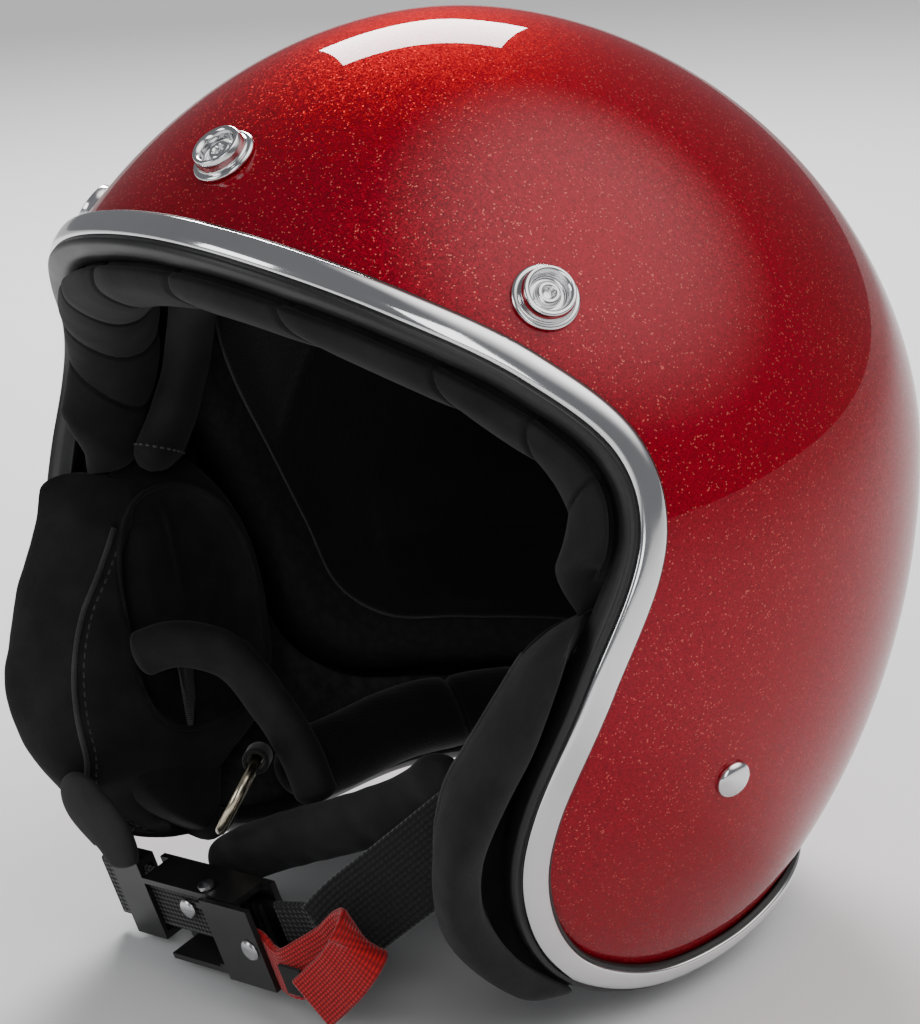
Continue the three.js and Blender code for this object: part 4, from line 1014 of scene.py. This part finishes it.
def patch_rings(azimuths, elevations, insets, side, count=64):
    """A cushion lying on a layer: rings from its back to its crown, in the row frame."""
    c, s = squared_circle(count, 0.6)
    a = np.mean(azimuths) + (azimuths[1] - azimuths[0]) / 2 * c
    e = np.mean(elevations) + (elevations[1] - elevations[0]) / 2 * s
    middle = bearing(np.mean(azimuths), np.mean(elevations))
    rings = []
    for inset, share in insets:
        ring = on_shell(between(bearing(a, e), middle[None], 1 - share), inset)
        rings.append(ring * [side, 1, 1])
    ends = [on_shell(middle, insets[0][0]) * [side, 1, 1],
            on_shell(middle, insets[-1][0]) * [side, 1, 1]]
    return rings, ends


def make_ear_pads():
    for name, side in (("left", 1), ("right", -1)):
        shape = [(11.4, 0.5), (11.4, 0.96), (13, 1.0), (16.5, 0.99), (18.6, 0.9), (19.4, 0.7),
                 (19.8, 0.4)]
        rings, ends = patch_rings((83.5, 91), (-42, -20), shape, side)
        pad = loft("ear_cushion_" + name, rings, KNIT_DARK, caps=ends)
        placed(pad, "helmet", "lining", "ear_pad_" + name)


# ---- Chin strap -------------------------------------------------------------------------

TILT, RISE = math.radians(14), -math.radians(8)
ABOUT_X = np.array([[1, 0, 0], [0, math.cos(TILT), -math.sin(TILT)],
                    [0, math.sin(TILT), math.cos(TILT)]])
ABOUT_Y = np.array([[math.cos(RISE), 0, math.sin(RISE)], [0, 1, 0],
                    [-math.sin(RISE), 0, math.cos(RISE)]])
BUCKLE_FRAME = np.eye(4)
BUCKLE_FRAME[:3, :3] = ABOUT_X @ ABOUT_Y
BUCKLE_FRAME[:3, 3] = [-21, -78.5, 12.5]
EXIT = np.array([61.0, -56.0, 57.0])
SLIDER_X, TAB_RIVET_X = -38.0, 23.5
BUCKLE_LENGTH, TONGUE_SEAT, TONGUE_LENGTH = 50, 17, 46
LEVER_COVER_Y, LEVER_WALL, TAB_WALL = -8.4, 1.6, 2.2
RING_TOP, RING_HANG = np.array([-22.0, -61, 54]), np.array([-0.34, -0.34, -0.875])
RING_FACE, RING_RADIUS, RING_WIRE = np.array([0.68, 0.5, -0.46]), 11.5, 1.5


def at_buckle(points):
    return np.asarray(points, float) @ BUCKLE_FRAME[:3, :3].T + BUCKLE_FRAME[:3, 3]


def turned_to_buckle(ways):
    return np.asarray(ways, float) @ BUCKLE_FRAME[:3, :3].T


def make_straps():
    x, y, z = EXIT
    for name, side in (("left", 1), ("right", -1)):
        run = np.array([(98, -16, 70), (89, -23, 68), (78, -38, 63), (x + 6, y + 7, z + 1.5)])
        obj = strip("strap_length_" + name, run * [side, 1, 1], [(0, 0, 1), (0, -0.05, 1)],
                    flat_section(24, 2.0), WEBBING, 40)
        placed(obj, "helmet", "webbing", "strap_run_" + name)
    exit_local = (np.array([x - 1, y - 2, z]) - BUCKLE_FRAME[:3, 3]) @ BUCKLE_FRAME[:3, :3]
    tail = -BUCKLE_LENGTH / 2 + TONGUE_SEAT + TONGUE_LENGTH
    left = [(tail - 7, 2.7 - 3.7, 0), (tail + 2, 1.2, 0.1), (tail + 7, 1.6, 0.6),
            (tail + 16, 7, 7), (tail + 30, 16.5, 15.5), tuple(exit_local)]
    across = [(0, 0, 1), (0, 0, 1), (-0.1, 0, 1), (-0.4, 0, 1), (-0.5, 0, 1), (-0.4, 0, 1)]
    band = strip("left_webbing", at_buckle(left), turned_to_buckle(across),
                 flat_section(23.5, 2.0), WEBBING, 120)
    bent(band, "strap_left")
    right = [(SLIDER_X - 15, 1.7, 0), (SLIDER_X, 1.7, 0), (-10 + 6, 1.7, 0)]
    band = strip("right_webbing", at_buckle(right), turned_to_buckle([(0, 0, 1), (0, 0, 1)]),
                 flat_section(20, 2.0), WEBBING, 60)
    placed(band, "chin_strap", "webbing", "strap_right")

    # finger-shaped chin pad with two grooves down its face
    path = [(x - 8, y - 1.5, z + 13), (38, -57.5, 57), (16, -59, 45), (-8, -60.5, 34),
            (-26, -61.5, 25), (-42, -61, 14.5)]

    def grooves(rings, share, section, thick):
        w = section[:, 0] / 8.0
        front = (section[:, 1] > 0) * 1.0
        dents = bell(w - 0.22, 0.10) + bell(w + 0.22, 0.10)
        along = np.clip((share - 0.35) / 0.08, 0, 1) * np.clip((0.965 - share) / 0.03, 0, 1)
        sag = 0.9 * dents[None] * front[None] * along[:, None]
        lumps = 0.35 * smooth_noise(rings, 12, 21)
        return rings - thick[:, None] * (sag - lumps)[..., None]

    pad = strip("chin_cushion", path, [(0, -0.3, 1), (0, -0.3, 1)], oval(16, 12, 48, 0.85),
                SUEDE, 150, scale=end_round(0.09), ripple=grooves)
    bent(pad, "chin_pad")

    # padded sleeve of the right strap, wrinkled where it bends
    path = [(-x - 1.5, y - 13.5, z + 20), (-54, -62, z + 23.5), (-43, -52.5, z + 20),
            (-28, -50, z + 8), (-18, -48.5, z - 5), (-12, -48, z - 18)]

    def wrinkles(rings, share, section, thick):
        bend = bell(share - 0.5, 0.2)
        waves = np.sin(share * 74 + 1.3 * np.sin(share * 31)) * bend
        inside = np.clip(-section[:, 1] / 5, 0, 1)
        middle = rings.mean(1, keepdims=True)
        rings = middle + (rings - middle) * (1 + 0.03 * waves[:, None] * inside)[..., None]
        return rings + 0.15 * smooth_noise(rings, 12, 31)[..., None] * thick[:, None]

    sleeve = strip("right_sleeve", path, [(0, -0.3, 1), (0.3, 0, 1), (1, 0, 0.4)],
                   oval(13.8, 10.2, 40, 0.9), SUEDE, 150, scale=end_round(0.05),
                   ripple=wrinkles)
    bent(sleeve, "strap_sleeve")

    flap = [(SLIDER_X - 9, -3.6, 40), (SLIDER_X - 4, -3.8, 34), (SLIDER_X + 5, -4.2, 24),
            (SLIDER_X + 7, -4.9, 14)]
    across = [(0.5, 0, 0.85), (0.7, 0, 0.7), (1, 0, 0)]

    def fan(share):
        near = np.minimum(share / 0.45, (1 - share) / 0.06)
        size = dome(near, 0.004)
        narrowing = 1 - 0.45 * np.clip((share - 0.45) / 0.5, 0, 1) ** 2
        return np.stack([size * narrowing, size**0.5], 1)

    cover = strip("strap_flap_pad", at_buckle(flap), turned_to_buckle(across),
                  oval(25, 4.4, 48, 0.8), SUEDE, 90, scale=fan)
    bent(cover, "strap_flap")


def make_tab():
    ply = LEVER_COVER_Y + LEVER_WALL / 2 + 0.7 + TAB_WALL / 2
    offsets = [(-4.3, 0, -3), (1, 0, -3.5), (6.5, -1, -6), (12, -1.5, -6.5), (22, 0.7, -2.2),
               (31, 3, 2.5), (38, 4, 7.5), (43, 3, 9.5), (45, 0, 7.5), (40, -2.7, 1.7),
               (32.5, -5, -4.2), (26, -7, -8.8)]
    path = [(TAB_RIVET_X + a, ply + b, c) for a, b, c in offsets]
    across = [(0, 0, 1), (0, 0, 1), (-0.35, 0, 1), (-0.5, 0, 1), (-0.6, 0, 1), (-0.6, 0, 1)]
    tape = strip("pull_tab_tape", at_buckle(path), turned_to_buckle(across),
                 flat_section(16, 2.1, 0.9), RED_TAPE, 150)
    placed(tape, "lever", "tab_fabric", "pull_tab")


def lathe_at(name, profile, material, place, body, slot, node):
    """A turned piece whose axis is the buckle's Y or Z, standing at a place in its frame."""
    axis, spot = place
    m = np.eye(4)
    z = turned_to_buckle([axis])[0]
    helper = np.array([1.0, 0, 0]) if abs(z[0]) < 0.9 else np.array([0, 1.0, 0])
    x = unit(np.cross(helper, z))
    m[:3, 0], m[:3, 1], m[:3, 2], m[:3, 3] = x, np.cross(z, x), z, at_buckle([spot])[0]
    return placed(lathe(name, profile, material, m, 40), body, slot, node)


def make_buckle():
    for node, finish, width in (("buckle_frame", BUCKLE, 0.35), ("buckle_lever", BUCKLE, 0.3),
                                ("buckle_tongue", BUCKLE, 0.15), ("strap_slider", BUCKLE, 0.6),
                                ("tab_patch", PATCH, 0.25)):
        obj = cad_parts[node]
        obj.data.materials.clear()
        obj.data.materials.append(finish)
        bevel = obj.modifiers.new("edges", "BEVEL")
        bevel.width = width * MM
        bevel.segments = 3
        bevel.limit_method = "ANGLE"
        bevel.angle_limit = math.radians(40)
    head = rounded([(0, 0), (3.2, 0), (3.2, 0.35), (2.7, 0.95), (1.6, 1.35), (0, 1.45)], 0.2)
    lathe_at("frame_rivet", [(r, h + 1.0) for r, h in head], STEEL,
             ((0, -1, 0), (-15, 0.7, 0)), "chin_strap", "steel", "buckle_rivet")
    on_cover = (TAB_RIVET_X, LEVER_COVER_Y - LEVER_WALL / 2, 0)
    lathe_at("lever_rivet", head, STEEL, ((0, -1, 0), on_cover), "lever", "steel", "tab_rivet")


def make_ring():
    top, down = RING_TOP, unit(RING_HANG)
    face = unit(RING_FACE - down * RING_FACE.dot(down))
    side = np.cross(down, face)
    turn = circle(96)[:, None]
    middle = top + down * RING_RADIUS
    line = middle + RING_RADIUS * (np.cos(turn) * side + np.sin(turn) * down)
    ring = tube("theft_ring", line, RING_WIRE, BRASS, 20, closed=True)
    placed(ring, "ring", "brass", "lock_ring")
    # sewn loop round the wire
    eye = np.linspace(0, 2 * np.pi, 48, endpoint=False)
    section = flat_section(7.0, 1.4)
    rings = []
    for a in eye:
        out = -down * math.cos(a) + face * math.sin(a)
        rings.append([top + out * (3.1 + t) + side * w for w, t in section])
    loop = loft("ring_tape", rings, WEBBING, looped=True)
    placed(loop, "chin_strap", "webbing", "ring_loop")


make_shell()
make_trims()
make_fittings()
make_linings()
make_rolls()
make_cheeks()
make_ear_pads()
make_straps()
make_tab()
make_buckle()
make_ring()

for node, finish in (("snap_washer_centre", STEEL), ("snap_washer_left", STEEL),
                     ("snap_washer_right", STEEL), ("strap_plate_left", STEEL),
                     ("strap_plate_right", STEEL), ("strap_end_left", WEBBING),
                     ("strap_end_right", WEBBING), ("cheek_plate_left", PLATE),
                     ("cheek_plate_right", PLATE), ("lever_pin", STEEL),
                     ("lever_spring", STEEL)):
    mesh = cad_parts[node].data
    mesh.materials.clear()
    mesh.materials.append(finish)

# ---- Camera, light and floor ------------------------------------------------------------


CAMERA_PLACE = (566.2, -546.7, 368.6)
CAMERA_AZIMUTH, CAMERA_ELEVATION, CAMERA_ROLL = 46.0, 17.92, -2.73
CAMERA_LENS, CAMERA_SENSOR = 104.2523, 36.0


def make_camera():
    azimuth, elevation, roll = np.radians([CAMERA_AZIMUTH, CAMERA_ELEVATION, CAMERA_ROLL])
    back = np.array([math.sin(azimuth) * math.cos(elevation),
                     -math.cos(azimuth) * math.cos(elevation), math.sin(elevation)])
    right = unit(np.cross(-back, [0, 0, 1.0]))
    up = np.cross(right, -back)
    c, s = math.cos(roll), math.sin(roll)
    right, up = c * right + s * up, -s * right + c * up
    data = bpy.data.cameras.new("camera")
    data.sensor_fit = "VERTICAL"
    data.sensor_height = CAMERA_SENSOR
    data.lens = CAMERA_LENS
    data.clip_start, data.clip_end = 0.05, 20
    camera = bpy.data.objects.new("camera", data)
    matrix = np.eye(4)
    matrix[:3, 0], matrix[:3, 1], matrix[:3, 2] = right, up, back
    matrix[:3, 3] = np.array(CAMERA_PLACE) * MM
    camera.matrix_world = Matrix(matrix.tolist())
    bpy.context.scene.collection.objects.link(camera)
    bpy.context.scene.camera = camera


def area_light(name, place, target, size, power):
    data = bpy.data.lights.new(name, "AREA")
    data.shape = "RECTANGLE"
    data.size, data.size_y = size
    data.energy = power
    light = bpy.data.objects.new(name, data)
    light.location = place
    way = Vector(target) - Vector(place)
    light.rotation_euler = way.to_track_quat("-Z", "Y").to_euler()
    bpy.context.scene.collection.objects.link(light)


# the broad soft glow of the studio ceiling: where it lies, and the cosine at which it fades out
GLOW_WAY, GLOW_EDGE = (0.46, 0.33, 0.82), 0.72
FLOOR_HALF, FLOOR_GAP = 12.0, 0.0015


def make_studio():
    world = bpy.data.worlds.new("studio")
    world.use_nodes = True
    background = world.node_tree.nodes["Background"]
    nodes, links = world.node_tree.nodes, world.node_tree.links
    place = nodes.new("ShaderNodeTexCoord")
    way = nodes.new("ShaderNodeVectorMath")
    way.operation = "DOT_PRODUCT"
    links.new(place.outputs["Generated"], way.inputs[0])
    way.inputs[1].default_value = Vector(GLOW_WAY).normalized()
    glow = nodes.new("ShaderNodeValToRGB")
    glow.color_ramp.interpolation = "EASE"
    glow.color_ramp.elements[0].position = GLOW_EDGE
    glow.color_ramp.elements[0].color = (0.20, 0.205, 0.215, 1)
    glow.color_ramp.elements[1].color = (3.0, 2.95, 2.9, 1)
    links.new(way.outputs["Value"], glow.inputs["Fac"])
    links.new(glow.outputs["Color"], background.inputs["Color"])
    background.inputs["Strength"].default_value = 0.9
    bpy.context.scene.world = world
    floor = bpy.data.meshes.new("floor")
    low, size = CAD_BOX[0][2] - FLOOR_GAP, FLOOR_HALF
    floor.from_pydata([(-size, -size, low), (size, -size, low), (size, size, low),
                       (-size, size, low)], [], [(0, 1, 2, 3)])
    f = Finish("pale_floor", (0.86, 0.86, 0.87), 0.7)
    f.color(f.ramp(f.noise(2.0, 3.0), 0.3, 0.7, (0.85, 0.85, 0.86), (0.88, 0.88, 0.885)))
    floor.materials.append(f.material)
    obj = bpy.data.objects.new("floor", floor)
    bpy.context.scene.collection.objects.link(obj)
    aim = (0, 0, 0.2)
    area_light("softbox", (-0.80, 0.74, 0.97), aim, (0.56, 0.42), 22)
    area_light("front", (0.95, -1.05, 0.75), (0, 0, 0.1), (0.5, 1.0), 5)
    area_light("left_front", (-0.55, -1.3, 0.7), (0, 0, 0.1), (0.6, 0.6), 4)


make_camera()
make_studio()
